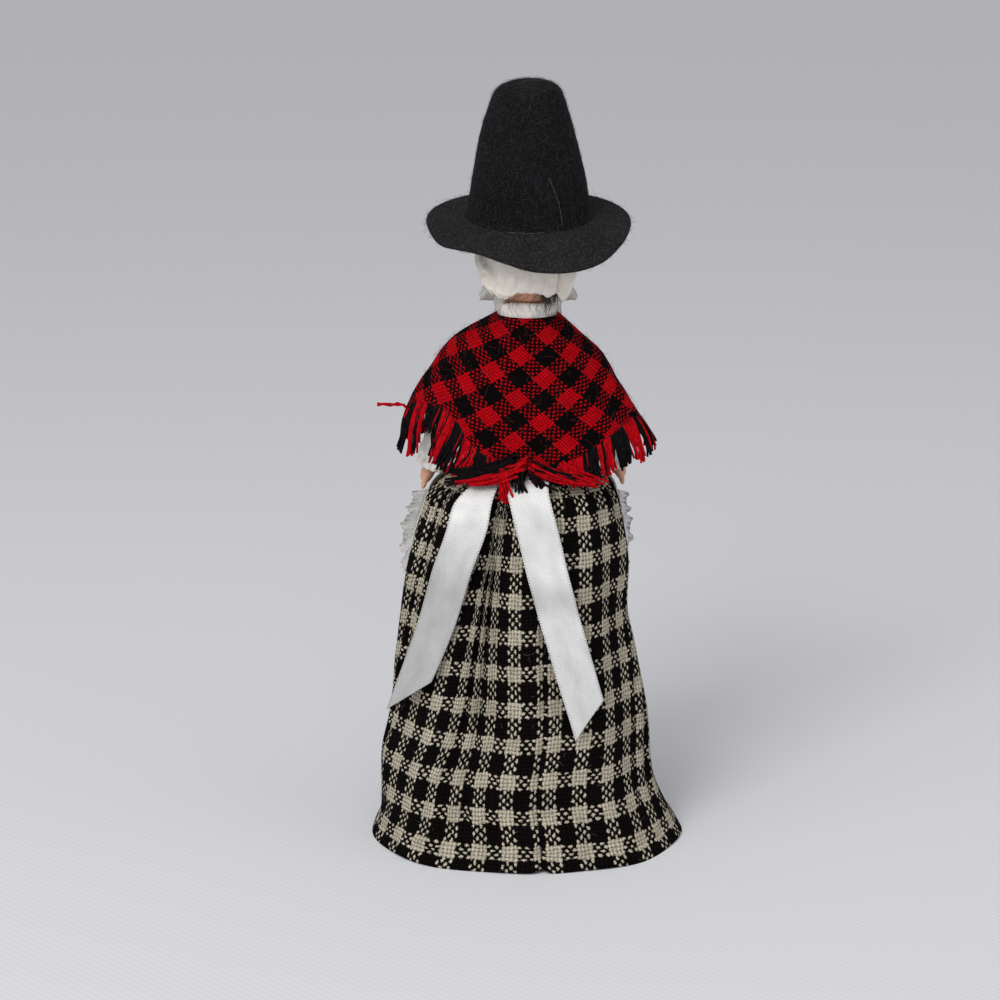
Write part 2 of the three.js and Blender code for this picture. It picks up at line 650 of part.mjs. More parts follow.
// Sleeping eyes: two balls on a rocker whose lead weight tips them shut when the doll lies down
function makeEyes() {
  for (const [name, side] of [["eye_left", 1], ["eye_right", -1]]) {
    addPiece(name, ball(EYE_RADIUS, [side * EYE_SPACING, EYE_Y, EYE_Z], 12), eyeWhite);
  }
  const barHalf = EYE_SPACING - EYE_RADIUS - GLUE_LINE / 2;
  const bar = solid(rod("x", ROCKER_BAR, -barHalf, barHalf, 10)).translate([0, EYE_Y, EYE_Z]);
  const weightPlace = new THREE.Vector3(0, EYE_Y + WEIGHT_SET_BACK, EYE_Z - WEIGHT_DROP);
  const reach = new THREE.Vector3(0, WEIGHT_SET_BACK, -WEIGHT_DROP);
  const armEnd = new THREE.Vector3(0, EYE_Y, EYE_Z).addScaledVector(
    reach.clone().normalize(),
    reach.length() - WEIGHT_RADIUS - GLUE_LINE,
  );
  const armPath = new THREE.LineCurve3(new THREE.Vector3(0, EYE_Y, EYE_Z), armEnd);
  const section = new THREE.Shape().absarc(0, 0, ROCKER_WIRE, 0, 2 * Math.PI);
  const arm = new THREE.ExtrudeGeometry(section, { steps: 1, extrudePath: armPath, curveSegments: 8 });
  addPiece("eye_rocker", bar.add(solid(arm)), steel);
  const weight = rod("x", WEIGHT_RADIUS, -WEIGHT_LENGTH / 2, WEIGHT_LENGTH / 2, 16);
  addPiece("eye_weight", weight.translate(0, weightPlace.y, weightPlace.z), lead);

  // The cradle is glued inside the face behind the eyes and has a slot for the rocker.
  const front = EYE_Y + CRADLE_SET_BACK;
  const lowCorner = [-HEAD_HALF_WIDTH, front, EYE_Z - CRADLE_HEIGHT.below];
  const highCorner = [HEAD_HALF_WIDTH, front + CRADLE_THICKNESS, EYE_Z + CRADLE_HEIGHT.above];
  const block = solid(box(lowCorner, highCorner));
  const slotTop = EYE_Z + CRADLE_SLOT_TOP;
  const slot = solid(box([-CRADLE_SLOT / 2, -FAR, -FAR], [CRADLE_SLOT / 2, FAR, slotTop]));
  const inside = solid(headOval(-HEAD_WALL - SEAT_GAP));
  addPiece("eye_cradle", block.intersect(inside).subtract(slot).subtract(eyeRooms()), castPlastic);
}
makeEyes();

// Wig and cap: two close layers over the head, open at the face and the nape

// Everything in front of the tilted face opening, set back by a distance.
function faceOpening(setBack) {
  const front = box([-FAR, -FAR, -FAR], [FAR, 0, FAR]);
  front.rotateX(FACE_TILT * RAD).translate(0, setBack + FACE_OPENING_Y, HEAD_Z + HAIRLINE_RISE);
  return solid(front);
}

const wigInside = SEAT_GAP;
const wigOutside = wigInside + WIG_THICKNESS;
const capInside = wigOutside + SEAT_GAP;
const capOutside = capInside + CAP_CLOTH;

function makeWig() {
  const shell = solid(headOval(wigOutside)).subtract(solid(headOval(wigInside)));
  const trimmed = shell.subtract(faceOpening(0)).subtract(below(HEAD_Z - WIG_NAPE_DROP));
  addPiece("wig", trimmed, hair);
}
makeWig();

// The cap is gathered: small puckers run up from its edge and fade towards the crown.
const CAP_PUCKERS = 9;
function capPoint(lon, lat) {
  const pucker = 0.35 * (1 - smoothstep(lat, -0.2, 0.8)) * (1 + Math.cos(CAP_PUCKERS * lon));
  const spread = Math.cos(lat);
  return new THREE.Vector3(
    (HEAD_HALF_WIDTH + capOutside + pucker) * spread * Math.sin(lon),
    -(HEAD_HALF_DEPTH + capOutside + pucker) * spread * Math.cos(lon),
    HEAD_Z + (HEAD_HALF_HEIGHT + capOutside) * Math.sin(lat),
  );
}

function makeCap() {
  const shell = solid(globe(capPoint, 36, 10)).subtract(solid(headOval(capInside)));
  const trimmed = shell.subtract(faceOpening(CAP_SET_BACK)).subtract(below(HEAD_Z - CAP_NAPE_DROP));
  addPiece("cap", trimmed, whiteCotton);
}
makeCap();

// Lace frill round the face, along the cap's front edge from jaw to jaw
function makeFrill() {
  const slope = new THREE.Vector3(0, -Math.sin(FACE_TILT * RAD), Math.cos(FACE_TILT * RAD));
  const forward = new THREE.Vector3(0, -Math.cos(FACE_TILT * RAD), -Math.sin(FACE_TILT * RAD));
  const middle = new THREE.Vector3(0, CAP_SET_BACK + FACE_OPENING_Y, HEAD_Z + HAIRLINE_RISE)
    .addScaledVector(slope, -HAIRLINE_RISE)
    .addScaledVector(forward, SEAT_GAP + LACE_CLOTH);
  const grow = capInside + CAP_CLOTH / 2;
  const radii = new THREE.Vector3(HEAD_HALF_WIDTH + grow, HEAD_HALF_DEPTH + grow, HEAD_HALF_HEIGHT + grow);
  // Distance from the middle of the opening to the cap's cloth, in one direction within the opening.
  const reachOf = (direction) => {
    const from = middle.clone().sub(new THREE.Vector3(0, 0, HEAD_Z)).divide(radii);
    const along = direction.clone().divide(radii);
    const [a, b, c] = [along.lengthSq(), 2 * from.dot(along), from.lengthSq() - 1];
    return (-b + Math.sqrt(b * b - 4 * a * c)) / (2 * a);
  };
  const at = (turn, width) => {
    const outward = new THREE.Vector3(Math.cos(turn), 0, 0).addScaledVector(slope, Math.sin(turn));
    const flare = lerp(0.85, -0.12, smoothstep(Math.sin(turn), -0.3, 0.7));
    const lean = Math.sqrt(1 - flare * flare);
    const spread = outward.clone().multiplyScalar(flare).addScaledVector(forward, lean);
    const across = outward.clone().multiplyScalar(lean).addScaledVector(forward, -flare);
    const ruffle = FRILL_RUFFLE * (width / FRILL_WIDTH) * Math.sin(FRILL_RUFFLES * turn);
    return middle
      .clone()
      .addScaledVector(outward, reachOf(outward))
      .addScaledVector(spread, width)
      .addScaledVector(across, ruffle);
  };
  const fromJawToJaw = steps(-35 * RAD, 215 * RAD, 48);
  addPiece("cap_frill", cloth(at, fromJawToJaw, steps(0, FRILL_WIDTH, 2), LACE_CLOTH), lace);
}
makeFrill();

// Felt hat: a flat ring of a brim that droops at the back, and a tall blocked crown glued on it
function makeHat() {
  const hat = new THREE.Matrix4()
    .makeTranslation(0, 0, HEAD_Z + HAT_RISE)
    .multiply(new THREE.Matrix4().makeRotationX(-HAT_TIP_BACK * RAD));
  const innerRadius = CROWN_BASE_RADIUS * 0.4;
  const brimPoint = (turn, radius) => {
    const out = smoothstep(radius, CROWN_BASE_RADIUS, BRIM_RADIUS + 6);
    const back = Math.max(0, Math.cos(turn + 0.25)) ** 1.5;
    const wave = 0.5 * Math.sin(2 * turn + 1);
    const droop = out * (BRIM_DROOP + BRIM_BACK_DROOP * back + wave) * 1.6;
    return new THREE.Vector3(radius * Math.sin(turn), radius * Math.cos(turn), FELT / 2 - droop);
  };
  const radii = [innerRadius, CROWN_BASE_RADIUS, ...steps(CROWN_BASE_RADIUS, BRIM_RADIUS, 3).slice(1)];
  const around = fullTurn(32);
  const disc = solid(cloth(brimPoint, around, radii, FELT, true).applyMatrix4(hat));
  const headRoom = solid(headOval(capOutside + SEAT_GAP));
  addPiece("hat_brim", disc.subtract(headRoom), blackFelt);

  const base = FELT / 2 + SEAT_GAP;
  const top = base + CROWN_HEIGHT;
  const shoulder = top - CROWN_TOP_ROUND;
  const rounding = steps(0, 90, 3).map((turn) => [
    CROWN_TOP_RADIUS - CROWN_TOP_ROUND * (1 - Math.cos(turn * RAD)),
    shoulder + CROWN_TOP_ROUND * Math.sin(turn * RAD),
  ]);
  const innerRounding = rounding.map(([r, z]) => [Math.max(0.5, r - FELT), z - FELT]).reverse();
  const crownProfile = [
    [CROWN_BASE_RADIUS - FELT, base],
    [CROWN_BASE_RADIUS, base],
    [CROWN_BASE_RADIUS - 0.3, base + 4],
    ...rounding,
    [0, top],
    [0, top - FELT],
    ...innerRounding,
    [CROWN_BASE_RADIUS - 0.3 - FELT, base + 4],
    [CROWN_BASE_RADIUS - FELT, base],
  ];
  addPiece("hat_crown", turned(crownProfile, 28).applyMatrix4(hat), blackFelt);
}
makeHat();

// Blouse: a cotton bodice with open armholes, a neck band, and sleeves that move with the arms
function makeBlouse() {
  const low = WAIST_Z - BODICE_TUCK;
  const high = NECK_SEAT_Z - COTTON;
  const inside = trunk(SEAT_GAP, low - 1, NECK_SEAT_Z);
  const boss = solid(rod("x", ARM_BOSS_RADIUS + SEAT_GAP, -BALL_X, BALL_X)).translate([0, 0, ARM_AXIS_Z]);
  const outside = trunk(SEAT_GAP + COTTON, low, high);
  const armholes = [-1, 1].map((side) => {
    const hole = solid(rod("x", ARMHOLE_RADIUS, SHOULDER_HALF_WIDTH - 2.9, BALL_X + 4, 24));
    return (side > 0 ? hole : hole.mirror([1, 0, 0])).translate([0, 0, ARM_AXIS_Z]);
  });
  addPiece("blouse_bodice", outside.subtract(inside).subtract(boss).subtract(join(armholes)), whiteCotton);

  const collarInside = NECK_RADIUS + COLLAR_CLEARANCE;
  const collarOutside = collarInside + COLLAR_THICKNESS;
  const collarLow = NECK_SEAT_Z + SEAT_GAP;
  const collarTop = collarLow + COLLAR_HEIGHT;
  const collar = [
    [collarInside, collarLow],
    [collarOutside, collarLow],
    [collarOutside - 0.5, collarTop - 0.6],
    [collarOutside - 0.9, collarTop],
    [collarInside, collarTop],
    [collarInside, collarLow],
  ];
  addPiece("blouse_collar", turned(collar, 20), whiteCotton);
}
makeBlouse();

function sleeveTube(side, shrink) {
  const cuff = ARM_LENGTH - CUFF_RISE;
  const domeRadius = ARM_BALL_RADIUS + SEAT_GAP + COTTON;
  const radii = through([
    [0, domeRadius, domeRadius, 0],
    [7, SLEEVE_RADIUS + 0.1, SLEEVE_RADIUS + 0.3, 0],
    [cuff * 0.7, SLEEVE_RADIUS - 0.2, SLEEVE_RADIUS + 0.5, -0.3],
    [cuff, SLEEVE_RADIUS - 0.8, SLEEVE_RADIUS + 0.2, -1.3],
  ]);
  const rings = steps(0, cuff + (shrink ? 1 : 0), 6).map((down) => {
    const [thick, broad, y] = radii(down);
    return oval(10, thick - shrink, broad - shrink, -down, 0, y);
  });
  const dome = solid(ball(domeRadius - shrink, [0, 0, 0], 12));
  return toShoulder(solid(loft(rings)).add(dome), side);
}

for (const [name, side] of [["sleeve_left", 1], ["sleeve_right", -1]]) {
  const tube = sleeveTube(side, 0).subtract(sleeveTube(side, COTTON));
  addPiece(name, tube.intersect(outwardOf(ARM_SEAT_X + SEAT_GAP, side)), whiteCotton);
}

// Skirt and petticoat: gathered at the waist and hanging to the floor

const SKIRT_LENGTH = WAIST_Z;
const PETTICOAT_WAIST = SEAT_GAP + COTTON + SEAT_GAP + PETTICOAT_CLOTH; // its outside, off the body
const SKIRT_WAIST = PETTICOAT_WAIST + SEAT_GAP + SKIRT_CLOTH;
const WAISTBAND = 6; // height of the straight band that the sash lies round
const GATHERS = [2.5, 5, 9, 16]; // below the waist: the gathered top swells out between these

// Half width, half depth and sideways lean of the skirt's outside, by distance below the waist.
const skirtOval = (() => {
  const waist = [WAIST_HALF_WIDTH + SKIRT_WAIST, WAIST_HALF_DEPTH + SKIRT_WAIST];
  const hip = [SKIRT_HIP_HALF_WIDTH, SKIRT_HIP_HALF_DEPTH];
  const hem = [SKIRT_HEM_HALF_WIDTH, SKIRT_HEM_HALF_DEPTH];
  const between = (from, to, share) => from.map((value, i) => lerp(value, to[i], share));
  return through([
    [-WAISTBAND, ...waist, 0],
    [0, ...waist, 0],
    [GATHERS[0], ...between(waist, hip, 0.1), 0.02 * SKIRT_LEAN],
    [GATHERS[1], ...between(waist, hip, 0.38), 0.1 * SKIRT_LEAN],
    [GATHERS[2], ...between(waist, hip, 0.68), 0.3 * SKIRT_LEAN],
    [GATHERS[3], ...between(waist, hip, 0.84), 0.55 * SKIRT_LEAN],
    [SKIRT_HIP_DROP, ...hip, 0.8 * SKIRT_LEAN],
    [lerp(SKIRT_HIP_DROP, SKIRT_LENGTH, 0.5), ...between(hip, hem, 0.46), SKIRT_LEAN],
    [SKIRT_LENGTH - 18, ...between(hip, hem, 0.72), 0.6 * SKIRT_LEAN],
    [SKIRT_LENGTH, ...hem, 0],
  ]);
})();

// Depth of the hanging folds at one place, from 0 to FOLD_DEPTH.
function foldAt(turn, drop) {
  const grown = smoothstep(drop, 2, 34) * (1 - 0.5 * smoothstep(drop, SKIRT_LENGTH - 34, SKIRT_LENGTH));
  const wave = 0.5 - 0.38 * Math.cos(FOLD_COUNT * turn) - 0.12 * Math.cos((FOLD_COUNT - 4) * turn + 1);
  return FOLD_DEPTH * grown * wave;
}

// A point of the skirt, by angle from the back towards the doll's left and distance below the waist.
// lift moves it off the outside of the cloth, and folded is how much of the folds it follows.
function skirtPoint(turn, drop, lift = 0, folded = 1) {
  const [halfWidth, halfDepth, lean] = skirtOval(drop);
  const out = lift - folded * foldAt(turn, drop);
  return new THREE.Vector3(
    lean + (halfWidth + out) * Math.sin(turn),
    (halfDepth + out) * Math.cos(turn),
    WAIST_Z - drop,
  );
}

const SKIRT_TURNS = 44;
const skirtTurns = fullTurn(SKIRT_TURNS);
const skirtFace = (turn, drop) => skirtPoint(turn, drop);
const skirtCrests = (turn, drop) => skirtPoint(turn, drop, 0, 0);

function makeSkirt() {
  const drops = [0, ...GATHERS, ...steps(SKIRT_HIP_DROP, SKIRT_LENGTH, 4)];
  const hung = solid(cloth(skirtFace, skirtTurns, drops, SKIRT_CLOTH, true));
  addPiece("skirt", hung.subtract(below(0)), blackCheck);
}
makeSkirt();

function makePetticoat() {
  const slack = (drop) => FOLD_DEPTH * smoothstep(drop, 2, 34) + PETTICOAT_SLACK * smoothstep(drop, 0, 6);
  const under = (turn, drop) => skirtPoint(turn, drop, -slack(drop), 0);
  const hem = SKIRT_LENGTH - PETTICOAT_LIFT;
  const drops = [0, ...GATHERS, ...steps(SKIRT_HIP_DROP, hem, 2)];
  const inside = raised(under, -SKIRT_CLOTH - SEAT_GAP);
  addPiece("petticoat", cloth(inside, fullTurn(22), drops, PETTICOAT_CLOTH, true), whiteCotton);
}
makePetticoat();

// Apron: a lace-edged panel over the front of the skirt
const APRON_LIFT = SEAT_GAP + APRON_CLOTH;
const apronTurns = skirtTurns.filter((turn) => Math.abs(turn - Math.PI) <= APRON_HALF_ANGLE * RAD);

function makeApron() {
  const drops = [APRON_TOP, ...GATHERS, ...steps(GATHERS.at(-1), APRON_LENGTH, 2).slice(1)];
  addPiece("apron", cloth(raised(skirtFace, APRON_LIFT), apronTurns, drops, APRON_CLOTH), whiteCotton);

  // Lace runs down one side of the apron, along its hem and up the other side, standing off the skirt.
  const [first, last] = [apronTurns[0], apronTurns.at(-1)];
  const edge = (s) => {
    const along = Math.min(s, 3 - s); // 0 at the lace's ends, 1 at the apron's corners
    return {
      turn: lerp(first, last, clamp(s - 1, 0, 1)),
      drop: lerp(APRON_LACE_TOP, APRON_LENGTH, Math.min(along, 1)),
      side: clamp(2 * s - 3, -1, 1),
      down: smoothstep(along, 0.4, 1),
    };
  };
  const laceAt = (s, width) => {
    const { turn, drop, side, down } = edge(s);
    const ruffle = APRON_RUFFLE * (width / APRON_LACE_WIDTH) * Math.sin(s * APRON_RUFFLES);
    const out = APRON_LIFT + 2 * SEAT_GAP + lerp(0.85, 0.25, down) * width + ruffle;
    const p = skirtPoint(turn, drop + down * (width + SEAT_GAP), out, down);
    const backward = new THREE.Vector3(Math.cos(turn), -Math.sin(turn), 0);
    return p.addScaledVector(backward, side * (1 - down) * (0.5 * width + SEAT_GAP));
  };
  addPiece("apron_lace", cloth(laceAt, steps(0, 3, 48), steps(0, APRON_LACE_WIDTH, 2), LACE_CLOTH), lace);
}
makeApron();

// Satin sash: a belt over the apron band, knotted at the back, with two long tails
const BELT_LIFT = APRON_LIFT + SEAT_GAP + SATIN;
function makeSash() {
  const belt = raised((turn, down) => skirtCrests(turn, down - SASH_TOP), BELT_LIFT);
  addPiece("sash_belt", cloth(belt, fullTurn(24), steps(0, SASH_BELT_HEIGHT, 2), SATIN, true), satin);

  const [, waistDepth] = skirtOval(0);
  const knot = new THREE.SphereGeometry(1, 12, 8).scale(SASH_KNOT.x, SASH_KNOT.y, SASH_KNOT.z);
  knot.translate(SASH_KNOT_LEFT, waistDepth + BELT_LIFT + SEAT_GAP + SASH_KNOT.y, WAIST_Z + 0.6);
  addPiece("sash_knot", knot, satin);

  // A tail hangs from the knot over the fold crests, by its edge nearer the middle, and is cut on the slant.
  const overCrests = raised(skirtCrests, SASH_STAND_OFF + SATIN);
  const tail = (side, acrossSteps) => {
    const longest = SASH_TAIL_DROP[side];
    const cling = SASH_CLING[side];
    const shareOf = (drop) => (drop - SASH_TAIL_TOP) / (longest - SASH_TAIL_TOP);
    const at = (across, drop) => {
      const slanted = drop + SASH_CUT_SLANT * across * smoothstep(shareOf(drop), 0.7, 1);
      const [halfWidth] = skirtOval(slanted);
      const turn = lerp(...SASH_TAIL_TURN[side], shareOf(slanted)) * RAD;
      const free = new THREE.Vector3(Math.cos(0.7 * turn), -Math.sin(0.7 * turn), 0);
      const edge = overCrests(turn + (cling * across) / halfWidth, slanted);
      return edge.addScaledVector(free, across * (1 - cling));
    };
    const drops = steps(SASH_TAIL_TOP, longest, 10);
    addPiece("sash_tail_" + side, cloth(at, acrossSteps, drops, SATIN), satin);
  };
  tail("left", steps(0, SASH_WIDTH, 4));
  tail("right", steps(-SASH_WIDTH, 0, 4));
}
makeSash();

// Shawl: a fringed triangle of check wool over the shoulders, crossed in front, with its point behind
function makeShawl() {
  const neckZ = NECK_SEAT_Z + SHAWL_NECK_RISE;
  const spread = through([
    [0, 9.6, 8.8],
    [5, 15.6, 11.4],
    [12, 20.7, 13.6],
    [19, 24.9, 15.2],
    [26, 28.2, SHAWL_HALF_DEPTH - 0.5],
    [34, SHAWL_HALF_WIDTH - 0.4, SHAWL_HALF_DEPTH],
    [SHAWL_DEPTH + 2, SHAWL_HALF_WIDTH, SHAWL_HALF_DEPTH],
  ]);
  const END = 180 + SHAWL_CROSSING;
  // Lowest edge below the neck line, by angle from the back; positive angles are the doll's left.
  const lowEdge = through([
    [-END, 33],
    [-150, 34],
    [-110, 36],
    [-75, SHAWL_DEPTH - 2.5],
    [-40, SHAWL_DEPTH - 0.3],
    [0, SHAWL_DEPTH],
    [40, SHAWL_DEPTH - 0.5],
    [75, SHAWL_DEPTH - 7],
    [110, 35],
    [150, 34],
    [END, 33],
  ]);
  const at = (turn, share) => {
    const front = smoothstep(Math.abs(turn), 95, END);
    const high = 18 * front;
    const drop = lerp(high, lowEdge(turn)[0], share);
    const [halfWidth, halfDepth] = spread(drop);
    const fold = SHAWL_FOLD_DEPTH * share ** 2 * (0.5 - 0.5 * Math.cos(SHAWL_FOLDS * turn * RAD));
    const out = fold + SHAWL_LAP * smoothstep(turn, 130, 165);
    return new THREE.Vector3(
      (halfWidth + out) * Math.sin(turn * RAD),
      (halfDepth + out) * Math.cos(turn * RAD),
      neckZ - drop,
    );
  };
  addPiece("shawl", cloth(at, steps(-END, END, 44), steps(0, 1, 7), SHAWL_CLOTH), redCheck);
}
makeShawl();

export default doll;
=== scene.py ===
import math

import bpy
import numpy as np
from mathutils import Matrix, Vector


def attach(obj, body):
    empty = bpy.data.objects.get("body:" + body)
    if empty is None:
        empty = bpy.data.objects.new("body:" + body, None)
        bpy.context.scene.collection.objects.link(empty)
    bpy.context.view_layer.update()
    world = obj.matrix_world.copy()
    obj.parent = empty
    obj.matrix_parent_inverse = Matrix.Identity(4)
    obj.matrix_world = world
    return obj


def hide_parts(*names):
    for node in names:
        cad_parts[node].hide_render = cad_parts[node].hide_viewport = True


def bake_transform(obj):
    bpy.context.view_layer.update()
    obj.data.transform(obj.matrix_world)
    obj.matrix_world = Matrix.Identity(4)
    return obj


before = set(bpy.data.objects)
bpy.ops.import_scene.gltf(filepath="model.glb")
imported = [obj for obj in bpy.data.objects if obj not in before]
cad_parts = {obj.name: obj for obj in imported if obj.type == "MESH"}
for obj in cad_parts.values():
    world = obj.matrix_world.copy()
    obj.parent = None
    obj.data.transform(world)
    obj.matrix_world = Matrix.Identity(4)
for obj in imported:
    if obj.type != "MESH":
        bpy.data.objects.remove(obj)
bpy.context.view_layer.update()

MM = 0.001  # lengths below are in millimetres, and Blender's are in metres

# Camera, lamps and floor. The camera stands behind the doll, a little higher than its hat, and looks down
# on it. A soft lamp on the camera's left, a wider weak one on its right and a soft sun light it, on a pale
# twill cloth.
CAMERA_PLACE = (0.0072, 0.650, 0.270)
CAMERA_TILT = 15.39  # degrees down
CAMERA_LENS = 92.9
FLOOR_SIZE = 24.0
DOLL_MIDDLE = Vector((0, 0, 0.1))

bpy.ops.object.camera_add(
    location=CAMERA_PLACE, rotation=(math.radians(90 - CAMERA_TILT), 0, math.pi)
)
camera = bpy.context.object
camera.data.lens = CAMERA_LENS
bpy.context.scene.camera = camera
bpy.context.scene.view_settings.view_transform = "Standard"


def soft_lamp(name, place, watts, size):
    bpy.ops.object.light_add(type="AREA", location=place)
    lamp = bpy.context.object
    lamp.name = name
    lamp.data.energy = watts
    lamp.data.size = size
    lamp.rotation_euler = (DOLL_MIDDLE - Vector(place)).to_track_quat("-Z", "Y").to_euler()


soft_lamp("key_lamp", (0.42, 0.72, 0.80), 5.0, 0.45)
soft_lamp("fill_lamp", (-0.70, 0.35, 0.55), 1.0, 0.8)
bpy.ops.object.light_add(type="SUN", rotation=(math.radians(-38), math.radians(22), 0))
daylight = bpy.context.object.data
daylight.energy = 0.9
daylight.angle = math.radians(70)

studio = bpy.data.worlds.new("studio")
studio.use_nodes = True
studio.node_tree.nodes["Background"].inputs["Color"].default_value = (0.97, 0.98, 1.0, 1)
studio.node_tree.nodes["Background"].inputs["Strength"].default_value = 0.38
bpy.context.scene.world = studio


def finish(name, colour, roughness, **others):
    """A new finish whose even values are set on the shader itself."""
    material = bpy.data.materials.new(name)
    material.use_nodes = True
    sockets = {"Base_Color": colour, "Roughness": roughness, **others}
    for socket, value in sockets.items():
        feed(material, shader(material).inputs[socket.replace("_", " ")], value)
    return material


def shader(material):
    return material.node_tree.nodes["Principled BSDF"]


def feed(material, socket, value):
    """Sets a socket to a constant, or links another node's output to it."""
    if isinstance(value, bpy.types.NodeSocket):
        material.node_tree.links.new(value, socket)
    elif socket.type == "RGBA":
        socket.default_value = (*value, 1)
    else:
        socket.default_value = value


def node(material, kind, inputs, **settings):
    made = material.node_tree.nodes.new("ShaderNode" + kind)
    for name, value in settings.items():
        setattr(made, name, value)
    for name, value in inputs.items():
        feed(material, made.inputs[name], value)
    return made


def calc(material, operation, first, second=0.0):
    return node(material, "Math", {0: first, 1: second}, operation=operation).outputs[0]


def tint(material, share, first, second, way="MIX"):
    mixed = node(material, "Mix", {0: share, 6: first, 7: second}, data_type="RGBA", blend_type=way)
    return mixed.outputs[2]


def ranged(material, value, low, high, to_low=0, to_high=1):
    return node(material, "MapRange", {0: value, 1: low, 2: high, 3: to_low, 4: to_high}).outputs[0]


def coords(material, kind="Object"):
    return node(material, "TexCoord", {}).outputs[kind]


def axes(material, place):
    return node(material, "SeparateXYZ", {0: place}).outputs


def waves(material, value, length):
    return calc(material, "SINE", calc(material, "MULTIPLY", value, 2 * math.pi / length))


def stretched(material, place, scale, turn=0.0):
    inputs = {"Vector": place, "Scale": scale, "Rotation": (0, 0, math.radians(turn))}
    return node(material, "Mapping", inputs).outputs[0]


def speckle(material, place, scale, detail=2.0):
    return node(material, "TexNoise", {"Vector": place, "Scale": scale, "Detail": detail}).outputs[0]


def colour_by(material, colour):
    feed(material, shader(material).inputs["Base Color"], colour)


def rough_by(material, value, low, high):
    feed(material, shader(material).inputs["Roughness"], ranged(material, value, 0, 1, low, high))


def relief(material, height, depth, strength=1.0):
    bump = node(material, "Bump", {"Height": height, "Distance": depth * MM, "Strength": strength})
    feed(material, shader(material).inputs["Normal"], bump.outputs[0])


def added(name, primitive, **settings):
    """A new mesh from one of Blender's own primitives."""
    bpy.ops.object.select_all(action="DESELECT")
    primitive(**settings)
    piece = bpy.context.object
    piece.name = name
    return piece


floor = added("floor", bpy.ops.mesh.primitive_plane_add, size=FLOOR_SIZE)
tablecloth = finish("tablecloth", (0.74, 0.74, 0.77), 0.9)
ribs = node(
    tablecloth,
    "TexWave",
    {"Vector": coords(tablecloth), "Scale": 250.0, "Distortion": 0.4},
    bands_direction="DIAGONAL",
)
colour_by(tablecloth, tint(tablecloth, ribs.outputs[1], (0.72, 0.72, 0.75), (0.76, 0.76, 0.79)))
floor.data.materials.append(tablecloth)

# Body. Two hard plastic half shells, front and back, glued round the edge and coloured in the melt, with the
# legs moulded on. They keep their CAD shape under the clothes.
SKIN = (0.70, 0.37, 0.24)
SKIN_SHADE = (0.62, 0.30, 0.18)


def hard_plastic(name):
    """Satin moulded plastic with a faint cloudiness and a fine mould texture."""
    plastic = finish(name, SKIN, 0.42, Subsurface_Weight=0.12, Subsurface_Scale=0.0015, Coat_Weight=0.08)
    place = coords(plastic)
    cloud = speckle(plastic, place, 180.0)
    rough_by(plastic, cloud, 0.36, 0.5)
    relief(plastic, speckle(plastic, place, 2400.0), 0.02, 0.5)
    return plastic, cloud


def refinish(node_name, material):
    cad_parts[node_name].material_slots[0].material = material


body_plastic, cloudiness = hard_plastic("body_plastic")
colour_by(body_plastic, tint(body_plastic, cloudiness, SKIN_SHADE, SKIN))
for half in ("torso_front", "torso_back"):
    refinish(half, body_plastic)

# Arm elastic. A round rubber core with a woven cotton cover, knotted at both ends inside the shoulders. It
# keeps its CAD shape.
elastic = finish("covered_elastic", (0.5, 0.43, 0.32), 0.85)
braid = node(
    elastic,
    "TexWave",
    {"Vector": coords(elastic), "Scale": 900.0, "Distortion": 2.0},
    bands_direction="DIAGONAL",
)
colour_by(elastic, tint(elastic, braid.outputs[1], (0.3, 0.25, 0.18), (0.56, 0.49, 0.37)))
relief(elastic, braid.outputs[1], 0.12)
refinish("arm_elastic", elastic)

# Shoes. Thin black vinyl slip-ons with a flat sole, pushed onto the feet before the skirts go on. They keep
# their CAD shape.
vinyl = finish("shoe_vinyl", (0.012, 0.011, 0.013), 0.3, Coat_Weight=0.25, Coat_Roughness=0.2)
pores = node(vinyl, "TexVoronoi", {"Vector": coords(vinyl), "Scale": 1500.0})
scuffs = speckle(vinyl, coords(vinyl), 300.0)
colour_by(vinyl, tint(vinyl, scuffs, (0.008, 0.008, 0.009), (0.022, 0.02, 0.021)))
rough_by(vinyl, pores.outputs[0], 0.24, 0.42)
relief(vinyl, pores.outputs[0], 0.05, 0.5)
for shoe in ("shoe_left", "shoe_right"):
    refinish(shoe, vinyl)

# Arms. Each is one moulding: a shoulder ball, a straight arm, and a small hand whose four fingers lie
# together. It is cut flat where it turns against the body, and the elastic pulls it there.
ARM_AXIS_Z = 129.5
BALL_X = 13.3
BALL_RADIUS = 3.8
ARM_SEAT_X = 10.7
ARM_LENGTH = 31.5
HAND_LENGTH = 7.4
PALM_END = ARM_LENGTH + 0.66 * HAND_LENGTH
FINGER_RADIUS = 0.74
ARM_SPLAY = {"left": 22, "right": 18.5}
ARM_FORWARD = {"left": 2, "right": 10}
SIDES = {"left": 1, "right": -1}


def through(stations):
    """A smooth curve through stations of (place, value, value, ...)."""
    table = np.array(stations, float)
    places, values = table[:, 0], table[:, 1:]
    slopes = np.diff(values, axis=0) / np.diff(places)[:, None]
    tangents = np.vstack([slopes[:1], (slopes[:-1] + slopes[1:]) / 2, slopes[-1:]])

    def curve(place):
        place = np.clip(place, places[0], places[-1])
        low = np.clip(np.searchsorted(places, place, "right") - 1, 0, len(places) - 2)
        span = (places[low + 1] - places[low])[:, None]
        s = (place - places[low])[:, None] / span
        start = (1 + 2 * s) * (1 - s) ** 2 * values[low] + s * (1 - s) ** 2 * span * tangents[low]
        end = s * s * (3 - 2 * s) * values[low + 1] + s * s * (s - 1) * span * tangents[low + 1]
        return (start + end).T

    return curve


def eased(value, low, high):
    share = np.clip((value - low) / (high - low), 0, 1)
    return share * share * (3 - 2 * share)


